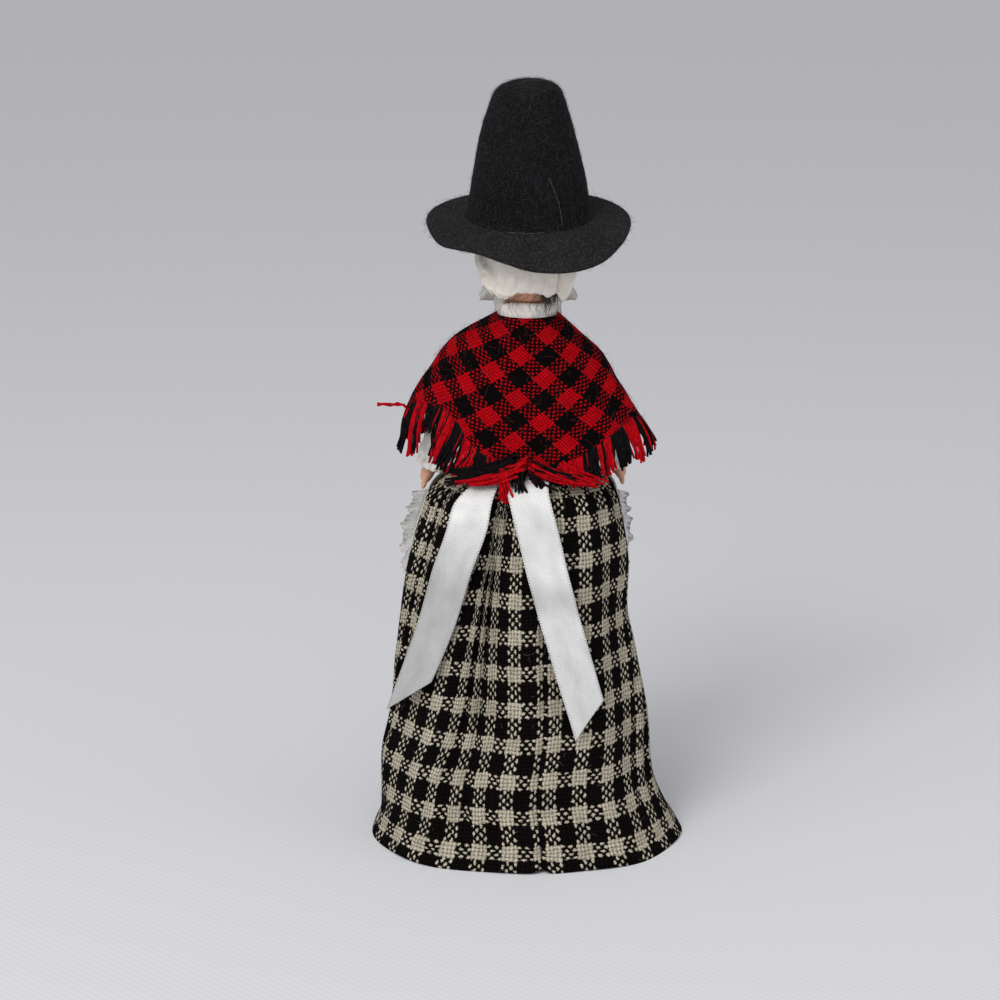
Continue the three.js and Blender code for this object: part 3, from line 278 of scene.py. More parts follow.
def points_of(piece):
    found = np.empty(len(piece.data.vertices) * 3, np.float32)
    piece.data.vertices.foreach_get("co", found)
    return found.reshape(-1, 3).astype(float) / MM


def move_points(piece, places):
    piece.data.vertices.foreach_set("co", (np.asarray(places) * MM).astype(np.float32).ravel())
    piece.data.update()


def only(piece):
    bpy.ops.object.select_all(action="DESELECT")
    piece.select_set(True)
    bpy.context.view_layer.objects.active = piece


def edited(piece, *steps):
    """Runs edit mode operators on all of a piece."""
    only(piece)
    bpy.ops.object.mode_set(mode="EDIT")
    bpy.ops.mesh.select_all(action="SELECT")
    for step in steps:
        step()
    bpy.ops.object.mode_set(mode="OBJECT")


def modified(piece, kind, **settings):
    """Adds a modifier and applies it."""
    only(piece)
    modifier = piece.modifiers.new(kind.lower(), kind)
    for name, value in settings.items():
        setattr(modifier, name, value)
    bpy.ops.object.modifier_apply(modifier=modifier.name)


def merged():
    bpy.ops.mesh.remove_doubles(threshold=0.01 * MM)


def filled():
    bpy.ops.mesh.fill_holes(sides=0)


def smoothed(piece):
    only(piece)
    bpy.ops.object.shade_smooth()


def sewn(name, columns, rows, hang, thickness=0.0, wrapped=False):
    """A flat grid hung as cloth: hang(across, down), each from 0 to 1, gives the places of its points in
    millimetres and where they lay on the flat cloth. A wrapped one is sewn to itself along its sides."""
    piece = added(name, bpy.ops.mesh.primitive_grid_add, x_subdivisions=columns, y_subdivisions=rows, size=1)
    grid = points_of(piece) * MM + 0.5
    places, flat = hang(grid[:, 0], grid[:, 1])
    move_points(piece, places)
    corners = np.empty(len(piece.data.loops), np.int32)
    piece.data.loops.foreach_get("vertex_index", corners)
    piece.data.uv_layers.active.data.foreach_set("uv", flat[corners].astype(np.float32).ravel())
    if wrapped:
        edited(piece, merged)
    if thickness:
        modified(piece, "SOLIDIFY", thickness=thickness * MM, offset=-1)
    smoothed(piece)
    return piece


def rounded(name, radius, place, scale=(1, 1, 1), turn=(0, 0, 0), around=32):
    """A ball drawn out to an oval lump."""
    ball = {"segments": around, "ring_count": around // 2, "radius": radius * MM}
    piece = added(name, bpy.ops.mesh.primitive_uv_sphere_add, **ball)
    piece.scale = scale
    piece.rotation_euler = turn
    piece.location = np.array(place) * MM
    bpy.ops.object.transform_apply(location=True, rotation=True, scale=True)
    return piece


def moulded(pieces, voxel, smoothing):
    """Melts joined lumps into one even skin."""
    bpy.ops.object.select_all(action="DESELECT")
    for piece in pieces:
        piece.select_set(True)
    bpy.context.view_layer.objects.active = pieces[0]
    bpy.ops.object.join()
    modified(pieces[0], "REMESH", mode="VOXEL", voxel_size=voxel * MM)
    modified(pieces[0], "SMOOTH", factor=0.5, iterations=smoothing)
    bpy.ops.object.shade_smooth()
    return pieces[0]


def belongs(piece, body):
    """Says which body a piece moves with."""
    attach(piece, body)


def settled(piece, material, body, slot, *stands_for):
    """Gives a piece its finish, the body that it moves with, and the CAD nodes that it stands for."""
    piece.data.materials.clear()
    piece.data.materials.append(material)
    belongs(piece, body)
    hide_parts(*stands_for)


def shoulder(which):
    side = SIDES[which]
    return (
        Matrix.Translation((side * BALL_X * MM, 0, ARM_AXIS_Z * MM))
        @ Matrix.Rotation(math.radians(-ARM_FORWARD[which]), 4, "X")
        @ Matrix.Rotation(math.radians(-side * ARM_SPLAY[which]), 4, "Y")
    )


arm_oval = through(
    [
        (0, 3.4, 3.4, 0), (5, 3.5, 3.6, 0), (0.5 * ARM_LENGTH, 2.9, 2.9, 0.3),
        (0.68 * ARM_LENGTH, 2.8, 3.1, -0.3), (ARM_LENGTH, 1.9, 2.1, -1.6),
        (ARM_LENGTH + 0.4 * HAND_LENGTH, 1.75, 2.7, -1.9), (PALM_END, 1.35, 2.5, -2.3),
    ]
)


def arm_skin(around, down):
    turn = 2 * math.pi * around
    thick, broad, forward = arm_oval(PALM_END * down)
    places = np.column_stack([thick * np.cos(turn), forward + broad * np.sin(turn), -PALM_END * down])
    return places, np.column_stack([turn, down])


arm_plastic, cloudiness = hard_plastic("arm_plastic")
colour_by(arm_plastic, tint(arm_plastic, cloudiness, SKIN_SHADE, SKIN))
for which, side in SIDES.items():
    limb = sewn("arm_" + which + "_skin", 28, 44, arm_skin, wrapped=True)
    edited(limb, filled)
    lumps = [limb, rounded("ball", BALL_RADIUS, (0, 0, 0))]
    for number, reach in enumerate((3.0, 3.6, 3.5, 2.9)):
        across = -2.35 + (number - 1.5) * 1.65 * FINGER_RADIUS
        curl = side * 0.10
        place = (-side * 0.15, across, -PALM_END - 0.15 * reach)
        lumps.append(
            rounded("finger", FINGER_RADIUS, place, (1, 1, 0.62 * reach / FINGER_RADIUS), (0, curl, 0), 16)
        )
    thumb_place = (-side * 0.9, -4.0, -(ARM_LENGTH + 0.36 * HAND_LENGTH))
    lumps.append(rounded("thumb", 0.82, thumb_place, (1, 1.1, 2.5), (-0.5, 0, 0), 16))
    arm = moulded(lumps, 0.2, 3)
    arm.data.transform(shoulder(which))
    seat = (side * ARM_SEAT_X * MM, 0, 0)
    edited(
        arm,
        lambda: bpy.ops.mesh.bisect(plane_co=seat, plane_no=(-side, 0, 0), use_fill=True, clear_outer=True),
    )
    settled(arm, arm_plastic, which + "_arm", "skin_plastic", "arm_" + which)

# Head. A face and a back shell of hard plastic glued together, with the neck moulded on. The face is plain:
# round cheeks, a small nose and a closed mouth, painted by hand with soft lips, blush and thin brows.
HEAD_Z = 155.6
HEAD_HALF = np.array([9.9, 11.5, 13.6])
HEAD_WALL = 1.4
NECK_RADIUS = 4.7
NECK_LOW_Z = 134.8
EYE_X = 3.9
EYE_Y = -6.9
EYE_Z = 155.8
EYE_RADIUS = 2.6
EYE_ROOM = 2.9
EYE_WIDTH = 4.4
EYE_HEIGHT = 2.9
FACE_FEATURES = [  # across to both sides, up, height, spread across, spread up
    (0, -0.9, 0.75, 0.95, 2.2),  # bridge of the nose
    (0, -2.7, 1.3, 1.05, 0.95),  # tip
    (0.95, -3.15, 0.45, 0.6, 0.55),  # wings
    (4.6, -4.2, 0.8, 2.6, 2.4),  # cheeks
    (0.75, -5.75, 0.6, 1.0, 0.5),  # upper lip
    (0, -7.0, 0.75, 1.25, 0.55),  # lower lip
    (0, -6.38, -0.35, 1.8, 0.2),  # mouth line
    (0, -8.4, -0.25, 1.6, 0.5),  # under the lip
    (0, -10, 1.0, 2.2, 1.6),  # chin
    (3.9, 0.3, -0.35, 2.2, 1.6),  # eye sockets
    (3.9, 2.0, 0.3, 2.4, 0.5),  # lid folds
]

head = rounded("head", 1000.0, (0, 0, 0), around=192)
unit = points_of(head) / 1000.0
jaw = 1 - 0.2 * eased(np.maximum(0, -unit[:, 2]), 0.2, 1)
shape = unit * HEAD_HALF
shape[:, :2] *= jaw[:, None]
facing = eased(-shape[:, 1] / HEAD_HALF[1], 0.1, 0.5)
for across, up, height, wide, tall in FACE_FEATURES:
    for x in sorted({across, -across}, reverse=True):
        bump = height * np.exp(-(((shape[:, 0] - x) / wide) ** 2) - ((shape[:, 2] - up) / tall) ** 2)
        shape[:, 1] -= facing * bump
shape[:, 2] += HEAD_Z
move_points(head, shape)


def raised_rings(name, sides, profile):
    """A turned shell: a ring that is drawn up and scaled along a profile of (radius, height)."""
    radius, height = profile[0]
    ring = {"vertices": sides, "radius": radius * MM, "location": (0, 0, height * MM)}
    piece = added(name, bpy.ops.mesh.primitive_circle_add, **ring)
    bpy.ops.object.transform_apply(location=True)
    bpy.ops.object.mode_set(mode="EDIT")
    bpy.ops.mesh.select_all(action="SELECT")
    for next_radius, next_height in profile[1:]:
        rise = (next_height - height) * MM
        bpy.ops.mesh.extrude_region_move(TRANSFORM_OT_translate={"value": (0, 0, rise)})
        ratio = next_radius / radius
        bpy.ops.transform.resize(value=(ratio, ratio, 1), center_override=(0, 0, next_height * MM))
        radius, height = next_radius, next_height
    bpy.ops.object.mode_set(mode="OBJECT")
    return piece


def faced_out():
    bpy.ops.mesh.normals_make_consistent(inside=False)


NECK_TOP_Z = 147
neck_foot = (NECK_RADIUS + 0.6, NECK_LOW_Z)
neck = raised_rings("neck", 48, [neck_foot, (NECK_RADIUS, NECK_LOW_Z + 1.5), (NECK_RADIUS, NECK_TOP_Z)])
edited(neck, filled, faced_out)
head = moulded([head, neck], 0.2, 4)


def almond(place):
    """The outline of an eye opening, drawn through the face from front to back."""
    ring = {"vertices": 48, "radius": 1, "fill_type": "NGON", "rotation": (math.pi / 2, 0, 0)}
    cutter = added("almond", bpy.ops.mesh.primitive_circle_add, **ring)
    bpy.ops.object.transform_apply(rotation=True)
    edited(cutter, lambda: bpy.ops.mesh.extrude_region_move(TRANSFORM_OT_translate={"value": (0, 8 * MM, 0)}))
    outline = points_of(cutter) * MM
    across = np.clip(outline[:, 0], -1, 1)
    up = np.sign(outline[:, 2]) * (1 - across**2)
    depth = np.where(outline[:, 1] > 0.001, 0, -8.0)
    move_points(cutter, np.column_stack([EYE_WIDTH / 2 * across, depth, EYE_HEIGHT / 2 * up]) + place)
    edited(cutter, merged, faced_out)
    return cutter


def cut_away(piece, cutter):
    modified(piece, "BOOLEAN", operation="DIFFERENCE", object=cutter, solver="EXACT")
    bpy.data.objects.remove(cutter)


inside = HEAD_HALF - HEAD_WALL
cut_away(head, rounded("hollow", 1.0, (0, 0, HEAD_Z), inside, around=64))
for side in SIDES.values():
    cut_away(head, almond((side * EYE_X, EYE_Y, EYE_Z)))
    cut_away(head, rounded("eye_room", EYE_ROOM, (side * EYE_X, EYE_Y, EYE_Z)))

LIP = np.array([0.42, 0.045, 0.05])
BLUSH = np.array([0.72, 0.22, 0.16])
BROW = np.array([0.05, 0.025, 0.015])
LID_LINE = np.array([0.16, 0.07, 0.05])


def face_paint(places):
    """Colour of the face by place: blush, lips, brows and a fine line over each eye."""
    x, y, z = places.T
    up = z - HEAD_Z
    front = eased(-y, 4.0, 7.0)
    across = np.abs(x)
    colour = np.tile(SKIN, (len(places), 1))

    def lay(share, paint):
        nonlocal colour
        share = (np.clip(share, 0, 1) * front)[:, None]
        colour = colour * (1 - share) + np.array(paint) * share

    lay(0.55 * np.exp(-(((across - 5.4) / 2.5) ** 2) - ((up + 4.0) / 2.0) ** 2), BLUSH)
    upper = -5.75 + 0.32 * np.cos(across * 2.2) * (across < 1.5) - 0.12 * across
    lay(eased(upper + 0.42 - up, 0, 0.3) * eased(up + 6.5, 0, 0.15) * eased(2.3 - across, 0, 0.6), LIP)
    lower = -7.55 + 0.28 * across**2 * 0.6
    lay(eased(up - lower, 0, 0.3) * eased(-6.35 - up, 0, 0.15) * eased(2.0 - across, 0, 0.6), LIP * 1.15)
    brow_line = 3.55 - 0.075 * (across - 3.5) ** 2
    lay(0.85 * eased(0.34 - np.abs(up - brow_line), 0, 0.2) * eased(2.6 - np.abs(across - 4.1), 0, 0.8), BROW)
    lid = EYE_Z - HEAD_Z + EYE_HEIGHT / 2 * (1 - ((across - EYE_X) / (EYE_WIDTH / 2)) ** 2)
    near_eye = eased(EYE_WIDTH / 2 + 0.3 - np.abs(across - EYE_X), 0, 0.4)
    lay(0.75 * eased(0.3 - np.abs(up - lid - 0.15), 0, 0.2) * near_eye, LID_LINE)
    return colour


face_plastic, cloudiness = hard_plastic("face_plastic")
paint = head.data.attributes.new("paint", "FLOAT_COLOR", "POINT")
painted = face_paint(points_of(head))
paint.data.foreach_set("color", np.column_stack([painted, np.ones(len(painted))]).astype(np.float32).ravel())
painted_skin = node(face_plastic, "Attribute", {}, attribute_name="paint").outputs["Color"]
clouded = tint(face_plastic, ranged(face_plastic, cloudiness, 0.3, 0.7, 0.0, 0.25), painted_skin, SKIN_SHADE)
colour_by(face_plastic, clouded)
only(head)
bpy.ops.object.shade_smooth_by_angle(angle=math.radians(50))
settled(head, face_plastic, "head", "skin_plastic", "head_front", "head_back")

# Sleeping eyes. Glossy balls with a printed iris and a lid of skin colour, joined by a bar to a lead weight
# that tips them shut. Bristle lashes are set along each lid's edge, and a cast cradle holds the pair.
IRIS_EDGE = 0.86  # cosine of the angle off the middle of the gaze
PUPIL_EDGE = 0.965
LID_EDGE = 28.0  # degrees above the gaze

glaze = finish(
    "eye_glaze", (0.8, 0.79, 0.76), 0.15, Coat_Weight=0.15, Coat_Roughness=0.05, Specular_IOR_Level=0.3
)
eye_spot = axes(glaze, coords(glaze))
eye_across = calc(glaze, "SUBTRACT", calc(glaze, "ABSOLUTE", eye_spot[0]), EYE_X * MM)
eye_back = calc(glaze, "SUBTRACT", eye_spot[1], EYE_Y * MM)
eye_up = calc(glaze, "SUBTRACT", eye_spot[2], EYE_Z * MM)
gaze = calc(glaze, "MULTIPLY", eye_back, -1 / (EYE_RADIUS * MM))
rays = node(glaze, "CombineXYZ", {0: calc(glaze, "ARCTAN2", eye_up, eye_across), 1: gaze}).outputs[0]
streaks = speckle(glaze, stretched(glaze, rays, (9, 6, 1)), 1.0, 3.0)
iris = tint(glaze, ranged(glaze, streaks, 0.35, 0.65), (0.035, 0.014, 0.006), (0.20, 0.085, 0.03))
whole = tint(glaze, ranged(glaze, gaze, IRIS_EDGE - 0.012, IRIS_EDGE + 0.012), (0.82, 0.81, 0.79), iris)
whole = tint(glaze, ranged(glaze, gaze, PUPIL_EDGE - 0.006, PUPIL_EDGE + 0.006), whole, (0.004, 0.004, 0.004))
lid_angle = calc(glaze, "ARCTAN2", eye_up, calc(glaze, "MULTIPLY", eye_back, -1.0))
lid_start = math.radians(LID_EDGE)
lid = ranged(glaze, lid_angle, lid_start - 0.02, lid_start + 0.02)
colour_by(glaze, tint(glaze, lid, whole, SKIN_SHADE))


def threads(name, routes, radius, finishes, kinds=None, tip=1.0, sides=0):
    """Many fine threads, each along a route of points, tapering to a share of its thickness at the tip."""
    curve = bpy.data.curves.new(name, "CURVE")
    curve.dimensions = "3D"
    curve.bevel_depth = radius * MM
    curve.bevel_resolution = sides
    curve.use_fill_caps = True
    for material in finishes:
        curve.materials.append(material)
    for number, route in enumerate(routes):
        spline = curve.splines.new("POLY")
        spline.points.add(len(route) - 1)
        ends = np.column_stack([np.asarray(route) * MM, np.ones(len(route))])
        spline.points.foreach_set("co", ends.astype(np.float32).ravel())
        spline.points.foreach_set("radius", np.linspace(1, tip, len(route)).astype(np.float32))
        spline.use_smooth = True
        spline.material_index = int(kinds[number]) if kinds is not None else 0
    piece = bpy.data.objects.new(name, curve)
    bpy.context.scene.collection.objects.link(piece)
    only(piece)
    bpy.ops.object.convert(target="MESH")
    return bpy.context.object


def speckled(name, colour, roughness, scale, dark, bright, detail=2.0, **others):
    """A finish whose colour wanders between two shades, and the noise that it wanders by."""
    material = finish(name, colour, roughness, **others)
    noise = speckle(material, coords(material), scale, detail)
    colour_by(material, tint(material, noise, dark, bright))
    return material, noise


LASH_SHADES = (0.006, 0.004, 0.004), (0.02, 0.013, 0.01)
lash_black, _ = speckled("lash_bristle", (0.012, 0.008, 0.007), 0.5, 2000.0, *LASH_SHADES)
LASHES = 15
for which, side in SIDES.items():
    eye = rounded("sleeping_eye_" + which, EYE_RADIUS, (side * EYE_X, EYE_Y, EYE_Z), around=64)
    bpy.ops.object.shade_smooth()
    settled(eye, glaze, "eyes", "eye_plastic", "eye_" + which)
    lash_routes = []
    for spot in np.linspace(-1, 1, LASHES):
        turn = spot * 0.62
        lift = math.radians(LID_EDGE - 3 - 9 * spot * spot)
        root = EYE_RADIUS * np.array(
            [math.sin(turn), -math.cos(turn) * math.cos(lift), math.cos(turn) * math.sin(lift)]
        )
        out = np.array([0.55 * spot, -1.0, 0.12])
        curl = [root * 0.99 + s * 1.25 * out + np.array([0, 0, 0.55 * s * s]) for s in (0, 0.35, 0.7, 1)]
        lash_routes.append(np.array(curl) + (side * EYE_X, EYE_Y, EYE_Z))
    lashes = threads("lashes_" + which, lash_routes, 0.055, [lash_black], tip=0.3)
    belongs(lashes, "eyes")

rocker_steel = finish("rocker_wire", (0.5, 0.5, 0.49), 0.32, Metallic=1.0)
drawn = speckle(rocker_steel, stretched(rocker_steel, coords(rocker_steel), (400, 400, 3000)), 1.0)
colour_by(rocker_steel, tint(rocker_steel, drawn, (0.36, 0.36, 0.35), (0.58, 0.58, 0.57)))
rough_by(rocker_steel, drawn, 0.25, 0.45)
refinish("eye_rocker", rocker_steel)
LEAD_SHADES = (0.10, 0.105, 0.115), (0.26, 0.265, 0.275)
cast_lead, oxide = speckled("cast_lead", (0.16, 0.165, 0.175), 0.6, 700.0, *LEAD_SHADES, 4.0, Metallic=0.9)
relief(cast_lead, oxide, 0.08)
refinish("eye_weight", cast_lead)
CRADLE_SHADES = (0.48, 0.46, 0.39), (0.6, 0.58, 0.51)
cradle_plastic, flow = speckled("cradle_plastic", (0.56, 0.54, 0.47), 0.55, 260.0, *CRADLE_SHADES, 3.0)
relief(cradle_plastic, flow, 0.04)
refinish("eye_cradle", cradle_plastic)

# Wig. Dark mohair glued to the head, flat under the cap, with a fringe of short hair at the forehead and a
# loose tuft and a few wisps that have slipped out over the nape.
FACE_TILT = math.radians(20.8)
FACE_OPENING_Y = -8.05
HAIRLINE_RISE = 5.8
WIG_LIFT = 0.9
WIG_NAPE_DROP = 5.0
HAIRLINE_HAIRS = 420
TUFT_HAIRS = 300
NAPE_HAIRS = 13


def over_head(turn, lat, grow):
    """A place on the head's oval, by angle from the back towards the doll's left and by latitude."""
    half = HEAD_HALF[:, None] + grow
    level = np.cos(lat)
    x, y, z = half[0] * level * np.sin(turn), half[1] * level * np.cos(turn), half[2] * np.sin(lat)
    return np.column_stack([x, y, z + HEAD_Z])


def low_edge(turn, grow, set_back, nape_drop):
    """The lowest latitude of a layer that is open at the tilted face and cut off at the nape."""
    up = math.sin(FACE_TILT) * (HEAD_HALF[2] + grow)
    back = math.cos(FACE_TILT) * (HEAD_HALF[1] + grow) * np.cos(turn)
    limit = math.cos(FACE_TILT) * (FACE_OPENING_Y + set_back) + math.sin(FACE_TILT) * HAIRLINE_RISE
    face = np.arcsin(np.clip(limit / np.hypot(up, back), -1, 1)) - np.arctan2(back, up)
    nape = np.arcsin(-nape_drop / (HEAD_HALF[2] + grow))
    return np.logaddexp(12 * face, 12 * nape) / 12


def wig_hang(around, up):
    turn = 2 * math.pi * around
    low = low_edge(turn, WIG_LIFT, 0.0, WIG_NAPE_DROP)
    lat = low + (math.pi / 2 - low) * up
    lock = 0.12 * np.sin(23 * turn + 2 * np.sin(3 * turn)) * (1 - up) ** 0.5
    grow = WIG_LIFT + lock - 0.3 * eased(0.06 - up, 0, 0.06)
    return over_head(turn, lat, grow), np.column_stack([60 * around, 20 * up])


mohair = finish("mohair", (0.013, 0.009, 0.007), 0.45, Sheen_Weight=0.2)
strands = speckle(mohair, stretched(mohair, coords(mohair, "UV"), (6, 0.12, 1)), 1.0, 3.0)
lit_strands = ranged(mohair, strands, 0.3, 0.75)
colour_by(mohair, tint(mohair, lit_strands, (0.006, 0.004, 0.003), (0.05, 0.032, 0.022)))
rough_by(mohair, strands, 0.35, 0.6)
relief(mohair, strands, 0.25)
wig = sewn("mohair_wig", 160, 48, wig_hang, 0.8, wrapped=True)
settled(wig, mohair, "head", "hair", "wig")

draw = np.random.default_rng(11)
hair_routes = []
for _ in range(HAIRLINE_HAIRS):  # short hair combed down along the hairline
    turn = math.pi + draw.uniform(-1.75, 1.75)
    lat = low_edge(np.array([turn]), WIG_LIFT, 0.0, WIG_NAPE_DROP)[0]
    reach = draw.uniform(1.6, 4.2)
    sway = draw.normal(0, 0.06)
    s = np.linspace(0, 1, 5)
    hair_routes.append(over_head(turn + sway * s, lat + 0.16 - s * reach / 13.0, WIG_LIFT - 0.5 * s))
for _ in range(TUFT_HAIRS):  # the tuft that shows below the cap at the nape
    x = draw.uniform(-7.4, -3.4)
    under_cap = 10.9 * math.sqrt(1 - (x / 10.3) ** 2)
    start = np.array([x, under_cap + draw.normal(-0.3, 0.25), 148.6 + draw.normal(0, 0.25)])
    reach = draw.choice([draw.uniform(1.8, 3.8), draw.uniform(4.0, 7.5)], p=[0.84, 0.16])
    sway = np.array([draw.normal(0.05, 0.16), draw.uniform(-0.2, 0.05), -1.0])
    route = [start + reach * s * sway + (0, -0.9 * s * s, 0) for s in np.linspace(0, 1, 5)]
    hair_routes.append(np.array(route))
for _ in range(NAPE_HAIRS):  # single hairs across the nape and the neck band
    start = np.array([draw.uniform(-6.5, 3.0), 10.6, draw.uniform(146.8, 148.4)])
    reach = draw.uniform(3.5, 7.5)
    sway = np.array([draw.normal(0, 0.45), draw.uniform(-0.35, -0.1), -0.9])
    route = [start + reach * (s * sway + (0.2 * math.sin(4 * s), 0, 0)) for s in np.linspace(0, 1, 6)]
    hair_routes.append(np.array(route))
loose_hair = threads("loose_hair", hair_routes, 0.06, [mohair], tip=0.4)
belongs(loose_hair, "head")

# Cap. A thin white cotton mob cap sewn to shape, gathered over the wig and turned under at the nape, with one
# corner that hangs as a small lappet on the doll's right.
CAP_LIFT = 2.1
CAP_SET_BACK = 1.2
CAP_NAPE_DROP = 7.3


def cap_hang(around, up):
    turn = 2 * math.pi * around
    back = np.angle(np.exp(1j * turn))  # from -180 to 180 degrees, 0 at the back
    low = low_edge(turn, CAP_LIFT, CAP_SET_BACK, CAP_NAPE_DROP)

    def bump(place, width):
        return np.exp(-(((np.degrees(back) - place) / width) ** 2))

    lappet = bump(-57, 13)
    low = low - 0.17 * lappet - 0.06 * bump(-27, 11) - 0.15 * bump(68, 16) - 0.14 * bump(36, 11)
    low = low + 0.010 * np.sin(31 * turn)
    lat = low + (math.pi / 2 - low) * up
    fade = (1 - eased(up, 0.05, 0.75)) * eased(up, 0, 0.1)
    pucker = 0.26 * np.sin(17 * turn + 3 * np.sin(2 * turn)) + 0.14 * np.sin(41 * turn + 5 * up)
    slant = 38 + 150 * (up - 0.1)  # a long crease that runs up to the doll's left
    folds = [(slant, 4, 1.7), (slant + 9, 3.5, -1.1), (slant + 20, 5, 1.4), (slant + 30, 3.5, -1.1)]
    folds += [(-28, 7, 1.1), (-42, 3, -1.4), (-53, 5, 1.5), (-62, 3, -1.2)]  # place, width, height
    crease = sum(height * bump(place, width) for place, width, height in folds)
    low_fold = crease * (1 - eased(up, 0.15, 0.6))
    puff = 0.7 * np.sin(np.pi * np.clip(up * 1.6, 0, 1))
    grow = CAP_LIFT + pucker * fade + low_fold * eased(up, -0.1, 0.1) + 0.4 * puff + 0.8 * lappet * (1 - up)
    return over_head(turn, lat, grow), np.column_stack([78 * around, 26 * up])


def woven_cotton(name, pale, shade, pitch, crease):
    """Plain cotton: a fine even weave with soft creases, its colour painted darker in their hollows as
    painted shade.
    """
    cotton = finish(name, pale, 0.85, Sheen_Weight=0.15)
    flat = coords(cotton, "UV")
    u, v, _ = axes(cotton, flat)
    crossing = calc(cotton, "MULTIPLY", waves(cotton, u, pitch), waves(cotton, v, pitch))
    soft = speckle(cotton, flat, crease, 3.0)
    # Painted shade: the colour goes from pale to shade where the crease noise sinks the relief.
    colour_by(cotton, tint(cotton, ranged(cotton, soft, 0.25, 0.75), shade, pale))
    height = calc(cotton, "ADD", calc(cotton, "MULTIPLY", crossing, 0.12), soft)
    relief(cotton, height, 0.3, 0.7)
    return cotton


cap_cotton = woven_cotton("cap_cotton", (0.90, 0.85, 0.77), (0.72, 0.67, 0.59), 0.55, 0.45)
cap = sewn("gathered_cap", 240, 60, cap_hang, 0.35, wrapped=True)
settled(cap, cap_cotton, "head", "white_cotton", "cap")

# Frill. Narrow cotton lace, pleated and sewn round the front edge of the cap from jaw to jaw. Its loops
# grow rounder towards the jaw.
FRILL_WIDTH = 6.2
FRILL_FROM = math.radians(-66)
FRILL_TO = math.radians(246)
FRILL_RUFFLES = 15


def frill_hang(along, across):
    turn = FRILL_FROM + (FRILL_TO - FRILL_FROM) * along
    slope = np.array([0, -math.sin(FACE_TILT), math.cos(FACE_TILT)])
    forward = np.array([0, -math.cos(FACE_TILT), -math.sin(FACE_TILT)])
    edge = np.array([0, CAP_SET_BACK + FACE_OPENING_Y, HAIRLINE_RISE])
    middle = edge - HAIRLINE_RISE * slope - 0.3 * forward
    radii = HEAD_HALF + 1.9 - 1.4 * eased(-np.sin(turn), 0.4, 0.75)[:, None]
    outward = np.cos(turn)[:, None] * np.array([1, 0, 0]) + np.sin(turn)[:, None] * slope
    start, way = middle / radii, outward / radii
    a, b, c = (way * way).sum(1), 2 * (way * start).sum(1), (start * start).sum(1) - 1
    reach = (-b + np.sqrt(b * b - 4 * a * c)) / (2 * a)
    flare = 0.62 - 0.72 * eased(np.sin(turn), -0.75, -0.3)
    lean = np.sqrt(1 - flare * flare)
    spread = outward * flare[:, None] + forward * lean[:, None]
    normal = outward * lean[:, None] - forward * flare[:, None]
    scallop = 1 - 0.06 * np.abs(np.sin(72 * turn / 2)) ** 0.7
    jaw = eased(-np.sin(turn), 0.2, 0.8)
    width = FRILL_WIDTH * across * scallop
    ripple = np.sin(FRILL_RUFFLES * turn) + 0.35 * (1 - jaw) * np.sin(2.7 * FRILL_RUFFLES * turn + 1)
    ruffle = (0.85 + 1.35 * jaw) * across ** (1.2 - 0.4 * jaw) * ripple
    places = middle + outward * reach[:, None] + spread * width[:, None] + normal * ruffle[:, None]
    places[:, 2] += HEAD_Z
    return places, np.column_stack([110 * along, FRILL_WIDTH * across])


def lace_finish(name, width, pale, clear):
    """Cotton net: clear holes between twisted threads, a dense sewn edge, and buds along the scallops."""
    lace = finish(name, pale, 0.8, Sheen_Weight=0.1)
    flat = coords(lace, "UV")
    spot = axes(lace, flat)
    cells = {"Vector": flat, "Scale": 1.5, "Randomness": 0.25}
    net = node(lace, "TexVoronoi", cells, feature="DISTANCE_TO_EDGE")
    thread = ranged(lace, net.outputs["Distance"], 0.05, 0.10, 0.8, 0)
    sewn_edge = ranged(lace, spot[1], 0.7, 1.1, 1, 0)
    outer_edge = ranged(lace, spot[1], width * 0.88, width * 0.93)
    wave = waves(lace, spot[0], 3.0)
    bud = calc(lace, "ADD", wave, ranged(lace, spot[1], width * 0.5, width * 0.7, 0, 0.4))
    bud = calc(lace, "MULTIPLY", ranged(lace, bud, 1.0, 1.2), ranged(lace, spot[1], width * 0.5, width * 0.6))
    dense = thread
    for part in (sewn_edge, outer_edge, bud):
        dense = calc(lace, "MAXIMUM", dense, part)
    feed(lace, shader(lace).inputs["Alpha"], ranged(lace, dense, 0, 1, clear, 1.0))
    colour_by(lace, tint(lace, speckle(lace, flat, 1.2), (0.68, 0.66, 0.6), pale))
    relief(lace, dense, 0.12)
    return lace


frill_lace = lace_finish("frill_lace", FRILL_WIDTH, (0.8, 0.785, 0.74), 0.4)
frill = sewn("lace_frill", 420, 14, frill_hang, 0.15)
settled(frill, frill_lace, "head", "lace", "cap_frill")

# Hat. Black wool felt: a flat ring of brim that has sagged at the back, and a tall crown blocked over a form,
# glued and caught to the brim with a few long stitches. Its nap stands up all over.
HAT_RISE = 165.5
HAT_TIP_BACK = 7.0
FELT = 1.2
CROWN_BASE = 15.5
BRIM_RADIUS = 26.0
HAT_SHIFT = -0.15
hat_tip = Matrix.Rotation(math.radians(-HAT_TIP_BACK), 4, "X")
hat_place = Matrix.Translation((HAT_SHIFT * MM, 0, HAT_RISE * MM)) @ hat_tip

